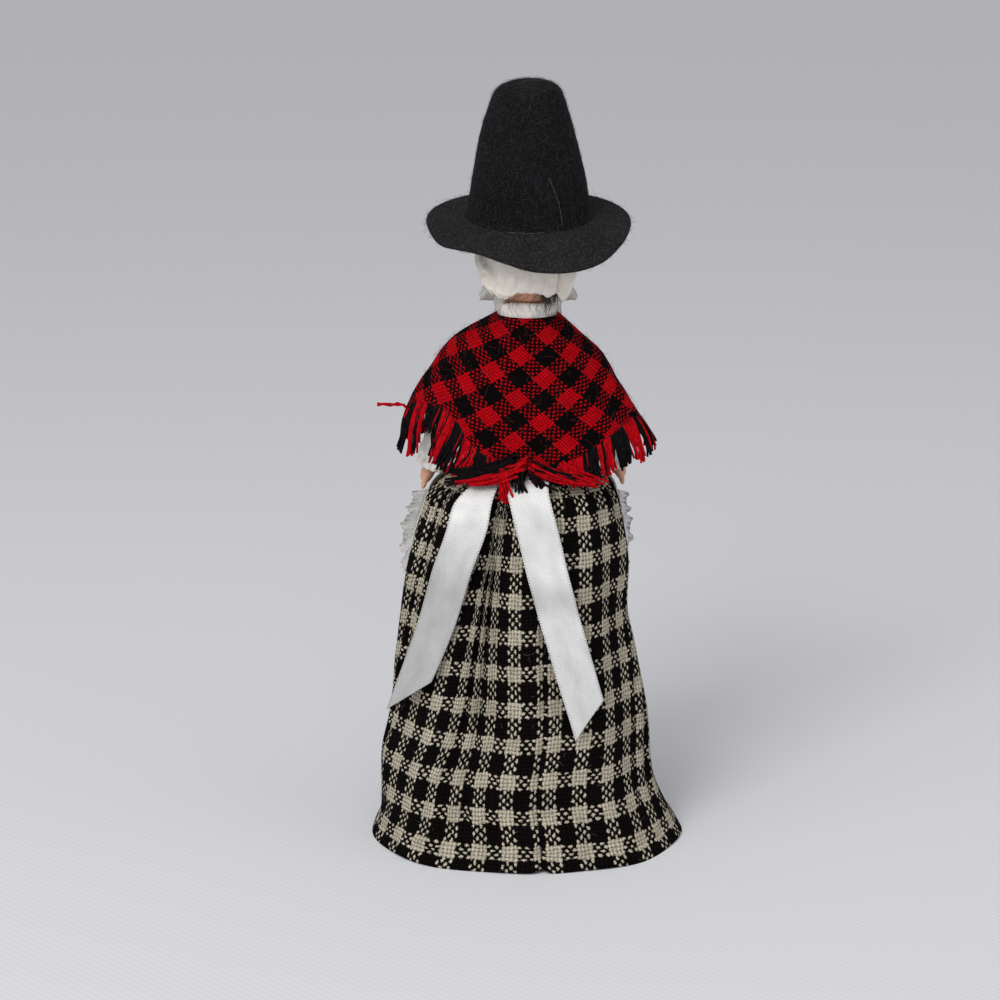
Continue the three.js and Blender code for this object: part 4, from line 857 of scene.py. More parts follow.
crown_side = through(
    [(0.3, 16.6), (0.9, 16.15), (2.2, 15.75), (5.3, 15.2), (10.5, 14.45), (15.7, 13.4), (20.9, 12.25)]
    + [(26.1, 10.8), (29.6, 9.6)]
)
crown_heights = np.concatenate([[0.3, 0.6, 1.0, 1.6], np.linspace(2.4, 29.6, 18)])
crown_profile = list(zip(crown_side(crown_heights)[0], crown_heights))
crown_profile += [(9.15, 31), (8.6, 32.2), (7.8, 33.3), (6.7, 34), (5, 34.35)]
crown_profile += [(radius, 34.45) for radius in (3, 1.5, 0.003)]
crown = raised_rings("felt_crown", 120, crown_profile)
edited(crown, merged, faced_out)
dented = points_of(crown)
turn = np.arctan2(dented[:, 0], dented[:, 1])
dent = 0.22 * np.sin(2 * turn + 0.6) + 0.14 * np.sin(3 * turn + dented[:, 2] / 7)
dent += 0.08 * np.sin(5 * turn - dented[:, 2] / 4)
dented[:, :2] *= (1 + dent * eased(dented[:, 2], 2, 12) / 14)[:, None]
dented[:, 2] -= 0.3 * np.sin(turn + 0.8) * eased(dented[:, 2], 20, 34)
dented[:, 0] += 0.45 * dented[:, 2] / 34
move_points(crown, dented)
modified(crown, "SOLIDIFY", thickness=FELT * MM, offset=-1)
modified(crown, "SUBSURF", levels=1, render_levels=1)

brim_rings = [(CROWN_BASE - 1.5, 0.6), (CROWN_BASE - 0.4, 0.6), (CROWN_BASE + 0.4, 0.6)]
brim_rings += [(radius, 0.6) for radius in np.linspace(CROWN_BASE + 1.2, BRIM_RADIUS, 14)]
brim = raised_rings("felt_brim", 144, brim_rings)
sagged = points_of(brim)
turn = np.arctan2(sagged[:, 0], sagged[:, 1])
radius = np.hypot(sagged[:, 0], sagged[:, 1])
brim_droop = through(  # the rim's fall, by degrees from the back towards the doll's left
    [
        (-180, 0.6), (-105, 0.8), (-80, 1.8), (-60, 4.2), (-45, 6.4), (-30, 7.3), (-15, 7.25), (0, 6.4),
        (15, 4.4), (30, 2.8), (45, 2.85), (60, 3.3), (80, 1.2), (105, 0.6), (180, 0.6),
    ]
)
fall = eased(radius, CROWN_BASE, BRIM_RADIUS + 6) / eased(BRIM_RADIUS, CROWN_BASE, BRIM_RADIUS + 6)
sagged[:, 2] -= fall * brim_droop(np.degrees(turn))[0]
sagged[:, :2] *= (1 - 0.006 * np.sin(3 * turn + 1) * eased(radius, 20, BRIM_RADIUS))[:, None]
move_points(brim, sagged)
edited(brim, faced_out)
if brim.data.polygons[0].normal.z < 0:
    edited(brim, bpy.ops.mesh.flip_normals)
modified(brim, "SOLIDIFY", thickness=FELT * MM, offset=-1)
modified(brim, "BEVEL", width=0.35 * MM, segments=2, limit_method="ANGLE", angle_limit=math.radians(50))


def felt_finish(name, dark, dust):
    """Pressed wool: short fibres lying every way, greyed by dust."""
    felt = finish(name, dark, 0.95, Specular_IOR_Level=0.12)
    place = coords(felt)
    lying = speckle(felt, stretched(felt, place, (2600, 2600, 420)), 1.0, 2.0)
    crossing = speckle(felt, stretched(felt, place, (2200, 520, 2200), 35), 1.0, 2.0)
    patches = speckle(felt, place, 120.0, 3.0)
    fibres = calc(felt, "MAXIMUM", lying, crossing)
    grey = ranged(felt, fibres, 0.56, 0.78)
    worn = tint(felt, ranged(felt, patches, 0.35, 0.7, 0, 0.5), dark, dust)
    colour_by(felt, tint(felt, grey, worn, tuple(2.6 * c for c in dust)))
    relief(felt, calc(felt, "ADD", fibres, calc(felt, "MULTIPLY", patches, 0.6)), 0.3, 0.8)
    return felt


def stray_fibres(name, piece, count, reach, radius, material, seed, upright=0.8):
    """Fine fibres that stand off a piece's outer face."""
    pick = np.random.default_rng(seed)
    places = points_of(piece)
    normals = np.empty(len(places) * 3, np.float32)
    piece.data.vertices.foreach_get("normal", normals)
    normals = normals.reshape(-1, 3)
    middle = places.mean(0)
    outer = np.flatnonzero(((places - middle) * normals).sum(1) > 0)
    routes = []
    for spot in pick.choice(outer, count):
        way = np.cross(normals[spot], pick.normal(0, 1, 3))
        way = way / np.linalg.norm(way)
        bend = np.cross(normals[spot], way) * pick.normal(0, 0.8) - 0.5 * upright * normals[spot]
        way = way + upright * normals[spot]
        long = reach * pick.uniform(0.4, 1.3)
        route = np.array([places[spot] + long * (s * way + s * s * bend) for s in np.linspace(0, 1, 5)])
        route[:, 2] = np.maximum(route[:, 2], 0.1)  # none goes through the table
        routes.append(route)
    return threads(name, routes, radius, [material], tip=0.5)


# Painted shade: the crown takes a darker copy of the same felt than the brim.
crown_felt = felt_finish("crown_felt", (0.0034, 0.0034, 0.004), (0.0085, 0.0085, 0.0095))
brim_felt = felt_finish("brim_felt", (0.009, 0.0085, 0.009), (0.021, 0.02, 0.021))
NAP_SHADES = (0.010, 0.010, 0.011), (0.055, 0.055, 0.057)
nap, _ = speckled("felt_nap", (0.03, 0.03, 0.032), 0.9, 90.0, *NAP_SHADES)
for piece, felt, node_name, seed, count in (
    (crown, crown_felt, "hat_crown", 3, 2600),
    (brim, brim_felt, "hat_brim", 5, 1800),
):
    piece.data.transform(hat_place)
    smoothed(piece)
    fuzz = stray_fibres(piece.name + "_nap", piece, count, 1.5, 0.024, nap, seed, 0.4)
    belongs(fuzz, "head")
    settled(piece, felt, "head", "black_felt", node_name)

STITCH_SHADES = (0.03, 0.03, 0.03), (0.13, 0.13, 0.13)
STITCH_RING = 16.9  # radius of the stitching, just outside the crown
stitch_cotton, _ = speckled("stitch_cotton", (0.10, 0.10, 0.10), 0.8, 1800.0, *STITCH_SHADES)
stitch_heights = 0.68 + 0.08 * np.cos(np.linspace(-1.5, 1.5, 8))
stitch_routes = []
for start in (-13, -5, 3, 11):  # degrees from the back
    turns = np.radians(np.linspace(start, start + 7.4, 8))
    ring = STITCH_RING * np.array([np.sin(turns), np.cos(turns)])
    stitch_routes.append(np.column_stack([*ring, stitch_heights]))
hair_heights = np.linspace(14, 2, 10)
hair_turns = np.radians(np.linspace(-19, -30, 10) - 3 * np.sin(np.linspace(0, 3, 10)))
hair_radii = crown_side(hair_heights)[0] + 0.35
stray = np.column_stack([hair_radii * np.sin(hair_turns), hair_radii * np.cos(hair_turns), hair_heights])
stitch_routes.append(stray)  # a pale hair that has settled on the felt
hat_stitches = threads("hat_stitches", stitch_routes, 0.055, [stitch_cotton])
hat_stitches.data.transform(hat_place)
belongs(hat_stitches, "head")

# Blouse. White cotton: a bodice glued at the back and tucked into the skirt, a folded neck band, and two
# straight sleeves that are turned under at the wrist and move with the arms.
NECK_SEAT_Z = 138.0
BODICE_LOW_Z = 101.0
BODICE_LIFT = 0.9
BODICE_HALF_WIDTH = 10.5  # no wider, to clear the shoulder balls
trunk_oval = through(  # height, half width, half depth
    [
        (85, 11.4, 9.0), (104, 8.6, 7.0), (116.5, 8.8, 8.2), (127.5, 10.4, 8.2), (135, 9.1, 7.9),
        (138, 7.9, 7.5),
    ]
)


def bodice_hang(around, down):
    turn = 2 * math.pi * around
    z = NECK_SEAT_Z - 0.3 - (NECK_SEAT_Z - 0.3 - BODICE_LOW_Z) * np.clip((down - 0.08) / 0.92, 0, 1)
    half_width, half_depth = trunk_oval(z)
    yoke = eased(0.08 - down, 0, 0.08)
    crease = 0.22 * np.sin(7 * turn + z / 3) * np.sin(z / 4.5 + turn) * eased(down, 0.1, 0.3)
    lift = BODICE_LIFT + crease - 1.6 * yoke
    x = np.clip((half_width + lift) * np.sin(turn), -BODICE_HALF_WIDTH, BODICE_HALF_WIDTH)
    y = (half_depth + lift) * np.cos(turn)
    return np.column_stack([x, y, z + 0.3 * yoke]), np.column_stack([66 * around, 40 * down])


blouse_cotton = woven_cotton("blouse_cotton", (0.92, 0.89, 0.83), (0.80, 0.76, 0.69), 0.5, 0.3)
bodice = sewn("cotton_bodice", 120, 70, bodice_hang, 0.3, wrapped=True)
settled(bodice, blouse_cotton, "body", "white_cotton", "blouse_bodice")

COLLAR_INSIDE = 5.4
COLLAR_OUTSIDE = 7.1
COLLAR_LOW_Z = 137.7
COLLAR_TOP_Z = 143.6
COLLAR_BACK_RISE = 0.8


def collar_hang(around, over):
    turn = 2 * math.pi * around
    fold = np.pi * np.clip((over - 0.42) / 0.16, 0, 1)  # turns over the top edge
    height = COLLAR_TOP_Z - COLLAR_LOW_Z - 0.5
    up = np.where(over < 0.5, np.clip(over / 0.42, 0, 1), np.clip((1 - over) / 0.42, 0, 1))
    middle = (COLLAR_INSIDE + COLLAR_OUTSIDE) / 2
    half = (COLLAR_OUTSIDE - COLLAR_INSIDE) / 2
    wrinkle = 0.16 * np.sin(9 * turn + 4 * up) + 0.1 * np.sin(23 * turn - 6 * up)
    radius = middle + half * np.cos(fold) * (1 - 0.35 * up) + wrinkle * np.cos(fold)
    rise = COLLAR_BACK_RISE * eased(np.cos(turn), 0.2, 0.9) + 0.15 * np.sin(3 * turn + 1)
    z = COLLAR_LOW_Z + (height + rise) * up + 0.45 * np.sin(fold)
    places = np.column_stack([radius * np.sin(turn), radius * np.cos(turn), z])
    return places, np.column_stack([44 * around, 12 * over])


collar = sewn("neck_band", 144, 44, lambda around, over: collar_hang(around, 1 - over), wrapped=True)
edited(collar, faced_out)
modified(collar, "SOLIDIFY", thickness=0.3 * MM, offset=0)
settled(collar, blouse_cotton, "body", "white_cotton", "blouse_collar")

SLEEVE_DOME = 4.7
CUFF = 32.0
sleeve_oval = through(
    [
        (0, SLEEVE_DOME, SLEEVE_DOME, 0), (7, 4.7, 4.9, 0), (0.7 * CUFF, 4.4, 5.1, -0.3),
        (CUFF, 4.3, 4.9, -1.3),
    ]
)
SLEEVE_SEAT_X = 11.0


def sleeve_hang(around, down):
    turn = 2 * math.pi * around
    reach = -SLEEVE_DOME + (CUFF + SLEEVE_DOME) * down
    half_width, half_depth, forward = sleeve_oval(np.maximum(reach, 0))
    dome = np.sqrt(np.clip(1 - (np.minimum(reach, 0) / SLEEVE_DOME) ** 2, 0.0004, 1))
    loose = eased(reach, 3, 12)
    crease = 0.34 * np.sin(reach * 0.55 + 2.2 * np.sin(turn)) + 0.2 * np.sin(reach * 1.25 - 3 * np.cos(turn))
    gather = 0.16 * np.sin(15 * turn) * eased(reach, CUFF - 7, CUFF - 2)
    hem = -0.3 * np.exp(-(((reach - CUFF + 2.2) / 0.5) ** 2))
    out = (crease * loose * (1 - 0.5 * eased(reach, CUFF - 3, CUFF)) + gather + hem) * 0.9
    x = (half_width + out) * dome * np.cos(turn)
    y = forward + (half_depth + out) * dome * np.sin(turn)
    return np.column_stack([x, y, -reach]), np.column_stack([30 * around, 36 * down])


for which, side in SIDES.items():
    sleeve = sewn("cotton_sleeve_" + which, 84, 110, sleeve_hang, wrapped=True)
    edited(sleeve, faced_out)
    modified(sleeve, "SOLIDIFY", thickness=0.35 * MM, offset=-1)
    sleeve.data.transform(shoulder(which))
    against_body = points_of(sleeve)
    against_body[:, 0] = side * np.maximum(side * against_body[:, 0], SLEEVE_SEAT_X)
    move_points(sleeve, against_body)
    settled(sleeve, blouse_cotton, which + "_arm", "white_cotton", "sleeve_" + which)

# Skirt and petticoat. The petticoat is thin white cotton. The skirt is a straight length of black and cream
# check wool, joined by one seam at the back, gathered into the waist and machine hemmed at the floor.
WAIST_Z = 104.0
WAIST = np.array([12.0, 10.4])
HIP = np.array([29.2, 23.8])
HEM = np.array([41.6, 33.4])
SKIRT_LEAN = 2.9
SKIRT_WIDTH = 224.6
MOST_GATHERED = 62.0
GATHERS = [  # place along the cloth from the seam, half width, share of the spare cloth
    (25, 24, 0.36), (62, 10, 0.11), (90, 9, 0.08), (112, 10, 0.11), (136, 9, 0.08), (161, 10, 0.10),
    (187, 13, 0.16),
]
FOLD_DEPTH = 1.8
HEM_BAND = 3.0
SQUARE_HEM = 1.8

WAIST_TO_HIP = [(-6, 0, 0), (0, 0, 0), (2.5, 0.10, 0.02), (5, 0.38, 0.1), (9, 0.68, 0.3), (16, 0.84, 0.55)]
HIP_TO_HEM = [(27, 0, 0.8), (54, 0.27, 1), (71.5, 0.47, 0.85), (80, 0.57, 1.05), (88.7, 0.63, 0.9)]
HIP_TO_HEM += [(97, 0.77, 0.3), (WAIST_Z, 1, 0)]  # below the waist, share of the way, share of the lean
skirt_oval = through(
    [(drop, *(WAIST + share * (HIP - WAIST)), lean * SKIRT_LEAN) for drop, share, lean in WAIST_TO_HIP]
    + [(drop, *(HIP + share * (HEM - HIP)), lean * SKIRT_LEAN) for drop, share, lean in HIP_TO_HEM]
)
seam_turn = through([(0, -14), (48, -12.8), (59, -12.4), (73, -10.4), (92, -7.2), (WAIST_Z, -5.2)])

round_turns = np.linspace(-1, 2 * math.pi + 1, 1201)
round_steps = np.hypot(np.cos(round_turns), HIP[1] / HIP[0] * np.sin(round_turns)) * np.gradient(round_turns)
round_lengths = np.cumsum(round_steps)
ROUND = np.interp(2 * math.pi, round_turns, round_lengths) - np.interp(0, round_turns, round_lengths)


def skirt_place(turn, drop, lift=0.0):
    """A place on the skirt's crests, by angle from the back towards the doll's left and by distance below the
    waist."""
    half_width, half_depth, lean = skirt_oval(drop)
    out = lift + SQUARE_HEM * np.sin(2 * turn) ** 2 * eased(drop, 70, WAIST_Z)
    x, y = lean + (half_width + out) * np.sin(turn), (half_depth + out) * np.cos(turn)
    return np.column_stack([x, y, WAIST_Z - drop])


def fold_at(turn, drop):
    """Depth of the nine soft folds that the cloth hangs in."""
    grown = eased(drop, 2, 34) * (1 - 0.5 * eased(drop, WAIST_Z - 34, WAIST_Z))
    return FOLD_DEPTH * grown * (0.5 - 0.38 * np.cos(9 * turn) - 0.12 * np.cos(5 * turn + 1))


def skirt_face(turn, drop, lift=0.0):
    """A place on the folded skirt, in the same terms."""
    return skirt_place(turn, drop, lift - fold_at(turn, drop))


def skirt_surface(along, drop, lift=0.0):
    """A place on the gathered skirt, by distance along the cloth from the seam and below the waist."""
    spare = np.clip(SKIRT_WIDTH - ROUND * skirt_oval(drop)[0], 0, MOST_GATHERED)
    drawn, depth = 0.0, 0.0
    for place, half_width, share in GATHERS:
        inside = np.clip((along - place) / half_width, -1, 1)
        drawn = drawn + share * (0.5 + 0.5 * inside + np.sin(np.pi * inside) / (2 * np.pi))
        close = 0.5 + 0.5 * np.cos(np.pi * inside)
        taken = share * spare
        small_fold = np.sin(np.pi * (along - place) / 7.0 + 0.5 * np.sin(drop / 13 + place)) ** 2
        depth = depth + close * 2.2 * small_fold**1.6 * taken / (taken + 4)
    way = (along - spare * drawn) / (SKIRT_WIDTH - spare)
    start = np.radians(seam_turn(drop)[0])
    turn = np.interp(np.interp(start, round_turns, round_lengths) + ROUND * way, round_lengths, round_turns)
    waist_folds = 0.6 * np.sin(2 * np.pi * along / 8.3 + 0.8 * np.sin(along / 9)) - 0.3
    waist_folds = waist_folds * eased(drop, 0, 3) * (1 - eased(drop, 3, 26))
    from_seam = np.minimum(along, SKIRT_WIDTH - along)
    seam = 0.8 * np.exp(-((from_seam / 0.9) ** 2)) * eased(drop, 6, 30)
    hip_dent = 1.7 * np.exp(-(((drop - 41) / 9) ** 2) - ((np.degrees(turn) - 275) / 30) ** 2)
    places = skirt_face(turn, drop, lift + waist_folds - depth - seam - hip_dent)
    notch = 1.2 * np.exp(-((from_seam / 1.8) ** 2)) * eased(drop, WAIST_Z - 6, WAIST_Z)
    hem_wave = 0.22 * (1 + np.sin(2 * np.pi * along / 29)) * eased(drop, WAIST_Z - 10, WAIST_Z)
    places[:, 2] = np.maximum(places[:, 2] + notch + hem_wave, 0.02)
    return places


profile_drops = np.linspace(0, WAIST_Z, 209)
profile_radii = skirt_oval(profile_drops)[:2].mean(0)
profile_steps = np.hypot(np.diff(profile_drops), np.diff(profile_radii))
profile_lengths = np.concatenate([[0], np.cumsum(profile_steps)])
SKIRT_LENGTH = profile_lengths[-1]


def skirt_hang(around, down):
    drop = np.interp(down * SKIRT_LENGTH, profile_lengths, profile_drops)
    hem = 0.35 * eased(drop, WAIST_Z - HEM_BAND - 0.4, WAIST_Z - HEM_BAND)
    stitched = 0.5 * np.exp(-(((drop - WAIST_Z + HEM_BAND) / 0.5) ** 2))
    places = skirt_surface(SKIRT_WIDTH * around, drop, hem - stitched)
    return places, np.column_stack([SKIRT_WIDTH * around, SKIRT_LENGTH * down])


def check_weave(name, first, second, pitch, stripes, mixed, turned=0.0, start=(0, 0)):
    """Plain weave in two yarns. Stripes gives the yarns of the second colour in each repeat, and the repeat.
    Where the colours cross, mixed is how much of the second one shows."""
    wool = finish(name, first, 0.95, Specular_IOR_Level=0.03)
    inputs = {
        "Vector": coords(wool, "UV"),
        "Scale": (1 / pitch[0], 1 / pitch[1], 1),
        "Rotation": (0, 0, math.radians(turned)),
        "Location": (*start, 0),
    }
    laid = node(wool, "Mapping", inputs).outputs[0]
    moved = laid
    for scale, detail, shift in ((0.4, 4.0, 1.1), (2.2, 2.0, 0.9)):  # yarns wander, and are spun unevenly
        noise = node(wool, "TexNoise", {"Vector": laid, "Scale": scale, "Detail": detail}).outputs[1]
        centred = node(wool, "VectorMath", {0: noise, 1: (0.5, 0.5, 0.5)}, operation="SUBTRACT").outputs[0]
        inputs = {0: centred, 1: (shift, shift, 0), 2: moved}
        moved = node(wool, "VectorMath", inputs, operation="MULTIPLY_ADD").outputs[0]
    u, v, _ = axes(wool, moved)

    def turn_about(value):
        return calc(wool, "COSINE", calc(wool, "MULTIPLY", calc(wool, "FLOOR", value), math.pi))

    def pale(value, stripe):
        place = calc(wool, "FLOORED_MODULO", calc(wool, "FLOOR", value), stripe[1])
        return calc(wool, "LESS_THAN", place, stripe[0] - 0.5)

    def yarn(place, own, other, share):
        passing = calc(wool, "MULTIPLY", calc(wool, "MULTIPLY", turn_about(place), other), share)
        return calc(wool, "ADD", passing, calc(wool, "ABSOLUTE", own))

    wave_u, wave_v = waves(wool, u, 2), waves(wool, v, 2)
    warp, weft = yarn(u, wave_u, wave_v, 0.5), yarn(v, wave_v, wave_u, -0.5)
    over = calc(wool, "GREATER_THAN", warp, weft)
    height = calc(wool, "MAXIMUM", warp, weft)
    pale_u, pale_v = pale(u, stripes[0]), pale(v, stripes[1])
    shown = node(wool, "Mix", {0: over, 2: pale_v, 3: pale_u}, data_type="FLOAT").outputs[0]
    both = calc(wool, "MULTIPLY", pale_u, pale_v)
    fibre = speckle(wool, moved, 3.2, 4.0)
    ragged = ranged(wool, calc(wool, "ADD", height, fibre), 1.2, 1.65, 0.0, mixed)
    shown = calc(wool, "MULTIPLY", shown, calc(wool, "MAXIMUM", both, ragged))
    tone = speckle(wool, laid, 0.14, 2.0)
    dyed = tint(wool, shown, first, second)
    # Painted shade: the colour is darkened where the yarns dip between one another, and mottled by the fibre
    # and tone noise.
    shade = ranged(wool, height, 0.5, 1.25, 0.42, 1.0)
    shade = calc(wool, "MULTIPLY", shade, ranged(wool, fibre, 0.25, 0.75, 0.68, 1.25))
    shade = calc(wool, "MULTIPLY", shade, ranged(wool, tone, 0.3, 0.7, 0.86, 1.12))
    colour_by(wool, tint(wool, 1.0, dyed, shade, "MULTIPLY"))
    relief(wool, calc(wool, "ADD", height, calc(wool, "MULTIPLY", fibre, 0.5)), 0.4, 0.9)
    return wool


PETTICOAT_LIFT = 6.0


def petticoat_hang(around, down):
    turn = 2 * math.pi * around
    drop = (WAIST_Z - PETTICOAT_LIFT) * down
    slack = 3.2 * eased(drop, 2, 34) + 1.6 * eased(drop, 0, 6) + 1.9
    ripple = 0.4 * np.sin(16 * turn + 2 * np.sin(3 * turn)) * eased(drop, 4, 30)
    return skirt_place(turn, drop, ripple - slack), np.column_stack([190 * around, 104 * down])


petticoat_cotton = woven_cotton("petticoat_cotton", (0.78, 0.77, 0.73), (0.68, 0.66, 0.61), 0.6, 0.15)
petticoat = sewn("cotton_petticoat", 200, 70, petticoat_hang, 0.3, wrapped=True)
settled(petticoat, petticoat_cotton, "body", "white_cotton", "petticoat")

CREAM = (0.60, 0.54, 0.42)
WARM_BLACK = (0.0055, 0.0043, 0.004)
SKIRT_YARN = (1.025, 1.06)
LAST_ROW = 5.0  # from the hem's edge to the middle of the last cream row
first_row = 2.0 - (SKIRT_LENGTH - LAST_ROW) / SKIRT_YARN[1]
skirt_wool = check_weave(
    "skirt_wool", WARM_BLACK, CREAM, SKIRT_YARN, ((4, 8), (4, 9)), 0.95, start=(2.0, first_row)
)
skirt = sewn("check_skirt", 330, 118, skirt_hang, 0.7, wrapped=True)
settled(skirt, skirt_wool, "body", "skirt_wool", "skirt")

HEM_SHADES = (0.1, 0.095, 0.08), (0.34, 0.32, 0.27)
HEM_STITCH = 1.9
HEM_SINK = np.array([-0.4, -0.08, -0.08, -0.4])  # a stitch's ends go into the cloth
hem_thread, _ = speckled("hem_thread", (0.2, 0.19, 0.16), 0.8, 1500.0, *HEM_SHADES)
hem_routes = []
for start in np.arange(1.2, SKIRT_WIDTH - HEM_STITCH, HEM_STITCH):
    stitch = start + HEM_STITCH * np.linspace(0.1, 0.72, 4)
    hem_routes.append(skirt_surface(stitch, np.full(4, WAIST_Z - HEM_BAND), HEM_SINK))
hem_stitches = threads("hem_stitches", hem_routes, 0.08, [hem_thread])
belongs(hem_stitches, "body")
LINT_SHADES = (0.02, 0.02, 0.02), (0.45, 0.42, 0.35)
skirt_lint, _ = speckled("skirt_lint", (0.25, 0.23, 0.19), 0.9, 60.0, *LINT_SHADES)
skirt_fuzz = stray_fibres("skirt_fuzz", skirt, 700, 1.5, 0.022, skirt_lint, 17)
belongs(skirt_fuzz, "body")

# Apron. A small white cotton panel over the front of the skirt, gathered into the sash, with gathered net
# lace sewn down both sides and along its hem. The lace stands out at the hips.
APRON_HALF_ANGLE = math.radians(72)
APRON_TOP = 1.2
APRON_LENGTH = 31.0
APRON_LIFT = 0.8
LACE_TOP = 12.0
LACE_WIDTH = 6.0


def raised(place, lift):
    """The same surface moved off itself."""
    step = 1e-3

    def at(turn, drop):
        along = place(turn + step, drop) - place(turn - step, drop)
        down = place(turn, drop + step) - place(turn, drop - step)
        normal = np.cross(along, down)
        return place(turn, drop) + lift * normal / np.linalg.norm(normal, axis=1)[:, None]

    return at


def outward(turn):
    return np.column_stack([np.sin(turn), np.cos(turn), np.zeros_like(turn)])


over_skirt = raised(skirt_face, APRON_LIFT)


def apron_hang(across, down):
    turn = math.pi + APRON_HALF_ANGLE * (2 * across - 1)
    drop = APRON_TOP + (APRON_LENGTH - APRON_TOP) * down
    fold = 0.3 * (1 + np.sin(44 * across * math.pi + np.sin(9 * across))) * (1 - 0.5 * eased(down, 0.2, 1))
    fold = fold + 0.35 * (1 + np.sin(13 * across * math.pi + 1)) * eased(down, 0.3, 1)
    places = over_skirt(turn, drop) + outward(turn) * (fold * eased(down, 0, 0.15))[:, None]
    return places, np.column_stack([70 * across, 36 * down])


apron_cotton = woven_cotton("apron_cotton", (0.76, 0.75, 0.71), (0.66, 0.65, 0.60), 0.5, 0.2)
apron = sewn("cotton_apron", 150, 60, apron_hang, 0.3)
settled(apron, apron_cotton, "body", "white_cotton", "apron")


def lace_hang(along, across):
    s = 3 * along
    corner = np.minimum(s, 3 - s)  # 0 at the lace's ends, 1 at the apron's corners
    turn = math.pi + APRON_HALF_ANGLE * (2 * np.clip(s - 1, 0, 1) - 1) * 0.955
    drop = LACE_TOP + (APRON_LENGTH - LACE_TOP) * np.minimum(corner, 1)
    side = np.clip(2 * s - 3, -1, 1)
    down = eased(corner, 0.4, 1)
    scallop = 1 - 0.1 * np.abs(np.sin(along * math.pi * 52)) ** 0.7
    width = LACE_WIDTH * across * scallop
    ripple = np.sin(30 * s + np.sin(7 * s)) + 0.5 * np.sin(53 * s + 1)
    stand = 0.34 - 0.14 * side - 0.12 * down  # further out on the doll's left
    out = APRON_LIFT + 0.5 + stand * width + 0.6 * across * ripple
    lower = drop + down * (width - 0.9)
    places = skirt_place(turn, lower, out - down * fold_at(turn, lower))
    backward = np.column_stack([np.cos(turn), -np.sin(turn), np.zeros_like(turn)])
    places += backward * (side * (1 - down) * (0.6 * width + 0.3))[:, None]
    return places, np.column_stack([150 * along, LACE_WIDTH * across])


apron_net = lace_finish("apron_net", LACE_WIDTH, (0.74, 0.725, 0.67), 0.08)
apron_lace = sewn("apron_edging", 520, 14, lace_hang, 0.12)
settled(apron_lace, apron_net, "body", "lace", "apron_lace")

# Sash. White satin ribbon with woven edges: a folded belt over the apron's band, a knot at the back, and two
# long tails cut on the slant that hang over the skirt's folds.
SASH_WIDTH = 10.5
SASH_TOP = 2.2
BELT_HEIGHT = 4.4
BELT_LENGTH = 86  # round the waist and into the knot
BELT_FOLD = 0.7  # from the inner half to the outer one
BELT_LIFT = 1.55
TAIL_TOP = 3.4
TAIL_DROP = {"left": 55.4, "right": 70.0}
TAIL_CLING = 0.3
CUT_SLANT = 0.95
STAND_OFF = 1.25
tail_turn = {  # degrees from the back, by distance below the waist
    "left": through([(TAIL_TOP, 21.5), (14, 18.8), (27, 24.3), (38.5, 29.4), (51, 36.3), (66, 45.5)]),
    "right": through(
        [(TAIL_TOP, 17), (6, 13.6), (9.4, 8.5), (17, 1.9), (30.6, -6), (44.6, -13.5), (58.8, -20), (70, -24)]
    ),
}


def satin_finish(name, width, high, low):
    """Satin ribbon: a smooth slanted twill with tiny stitches along both woven edges. Its colour is scaled by
    the share high near the knot and low further down: painted sheen where the floats catch the light, and
    painted shade where the ribbon has turned over."""
    ribbon = finish(name, (0.62, 0.61, 0.6), 0.36, Specular_IOR_Level=0.6)
    flat = coords(ribbon, "UV")
    spot = axes(ribbon, flat)
    slant = calc(ribbon, "ADD", calc(ribbon, "MULTIPLY", spot[0], 0.55), spot[1])
    twill = waves(ribbon, slant, 0.55)
    twill = calc(ribbon, "ADD", calc(ribbon, "MULTIPLY", twill, 0.5), 0.5)
    soft = speckle(ribbon, stretched(ribbon, flat, (0.25, 0.12, 1)), 1.0, 3.0)
    from_middle = calc(ribbon, "ABSOLUTE", calc(ribbon, "SUBTRACT", spot[0], width / 2))
    edge = ranged(ribbon, from_middle, width / 2 - 0.62, width / 2 - 0.42)
    picot = waves(ribbon, spot[1], 0.7)
    picot = calc(ribbon, "MULTIPLY", edge, ranged(ribbon, picot, -0.2, 0.5))
    base = tint(ribbon, ranged(ribbon, soft, 0.3, 0.7), (0.53, 0.525, 0.515), (0.69, 0.68, 0.67))
    base = tint(ribbon, calc(ribbon, "MULTIPLY", twill, 0.4), base, (0.38, 0.38, 0.375))
    # Painted sheen and shade: the colour is brighter near the knot and darker further down the ribbon.
    painted_sheen = ranged(ribbon, spot[1], 12, 32, high, low)
    base = tint(ribbon, 1.0, base, painted_sheen, "MULTIPLY")
    colour_by(ribbon, tint(ribbon, calc(ribbon, "MULTIPLY", picot, 0.5), base, (0.25, 0.25, 0.245)))
    rough_by(ribbon, soft, 0.28, 0.46)
    height = calc(ribbon, "SUBTRACT", twill, calc(ribbon, "MULTIPLY", picot, 1.6))
    relief(ribbon, height, 0.06, 0.8)
    return ribbon


belt_surface = raised(skirt_place, BELT_LIFT)


def belt_hang(around, across):
    """The ribbon folded along its middle, with the fold at the top and the outer half over the inner one."""
    turn = 2 * math.pi * around
    down = np.abs(2 * across - 1)
    places = belt_surface(turn, BELT_HEIGHT * down - SASH_TOP)
    crush = 0.18 * np.sin(7 * math.pi * down + 2 * np.sin(3 * turn)) * (1 - np.abs(2 * down - 1))
    crush += BELT_FOLD * (0.5 + 0.5 * np.tanh(30 * (across - 0.5)))
    places += outward(turn) * crush[:, None]
    return places, np.column_stack([SASH_WIDTH * across, BELT_LENGTH * around])


# Painted sheen: the belt's satin is painted a little brighter all round.
belt_satin = satin_finish("belt_satin", SASH_WIDTH, 1.1, 1.1)
belt = sewn("satin_belt", 150, 48, belt_hang, 0.25, wrapped=True)
settled(belt, belt_satin, "body", "satin", "sash_belt")

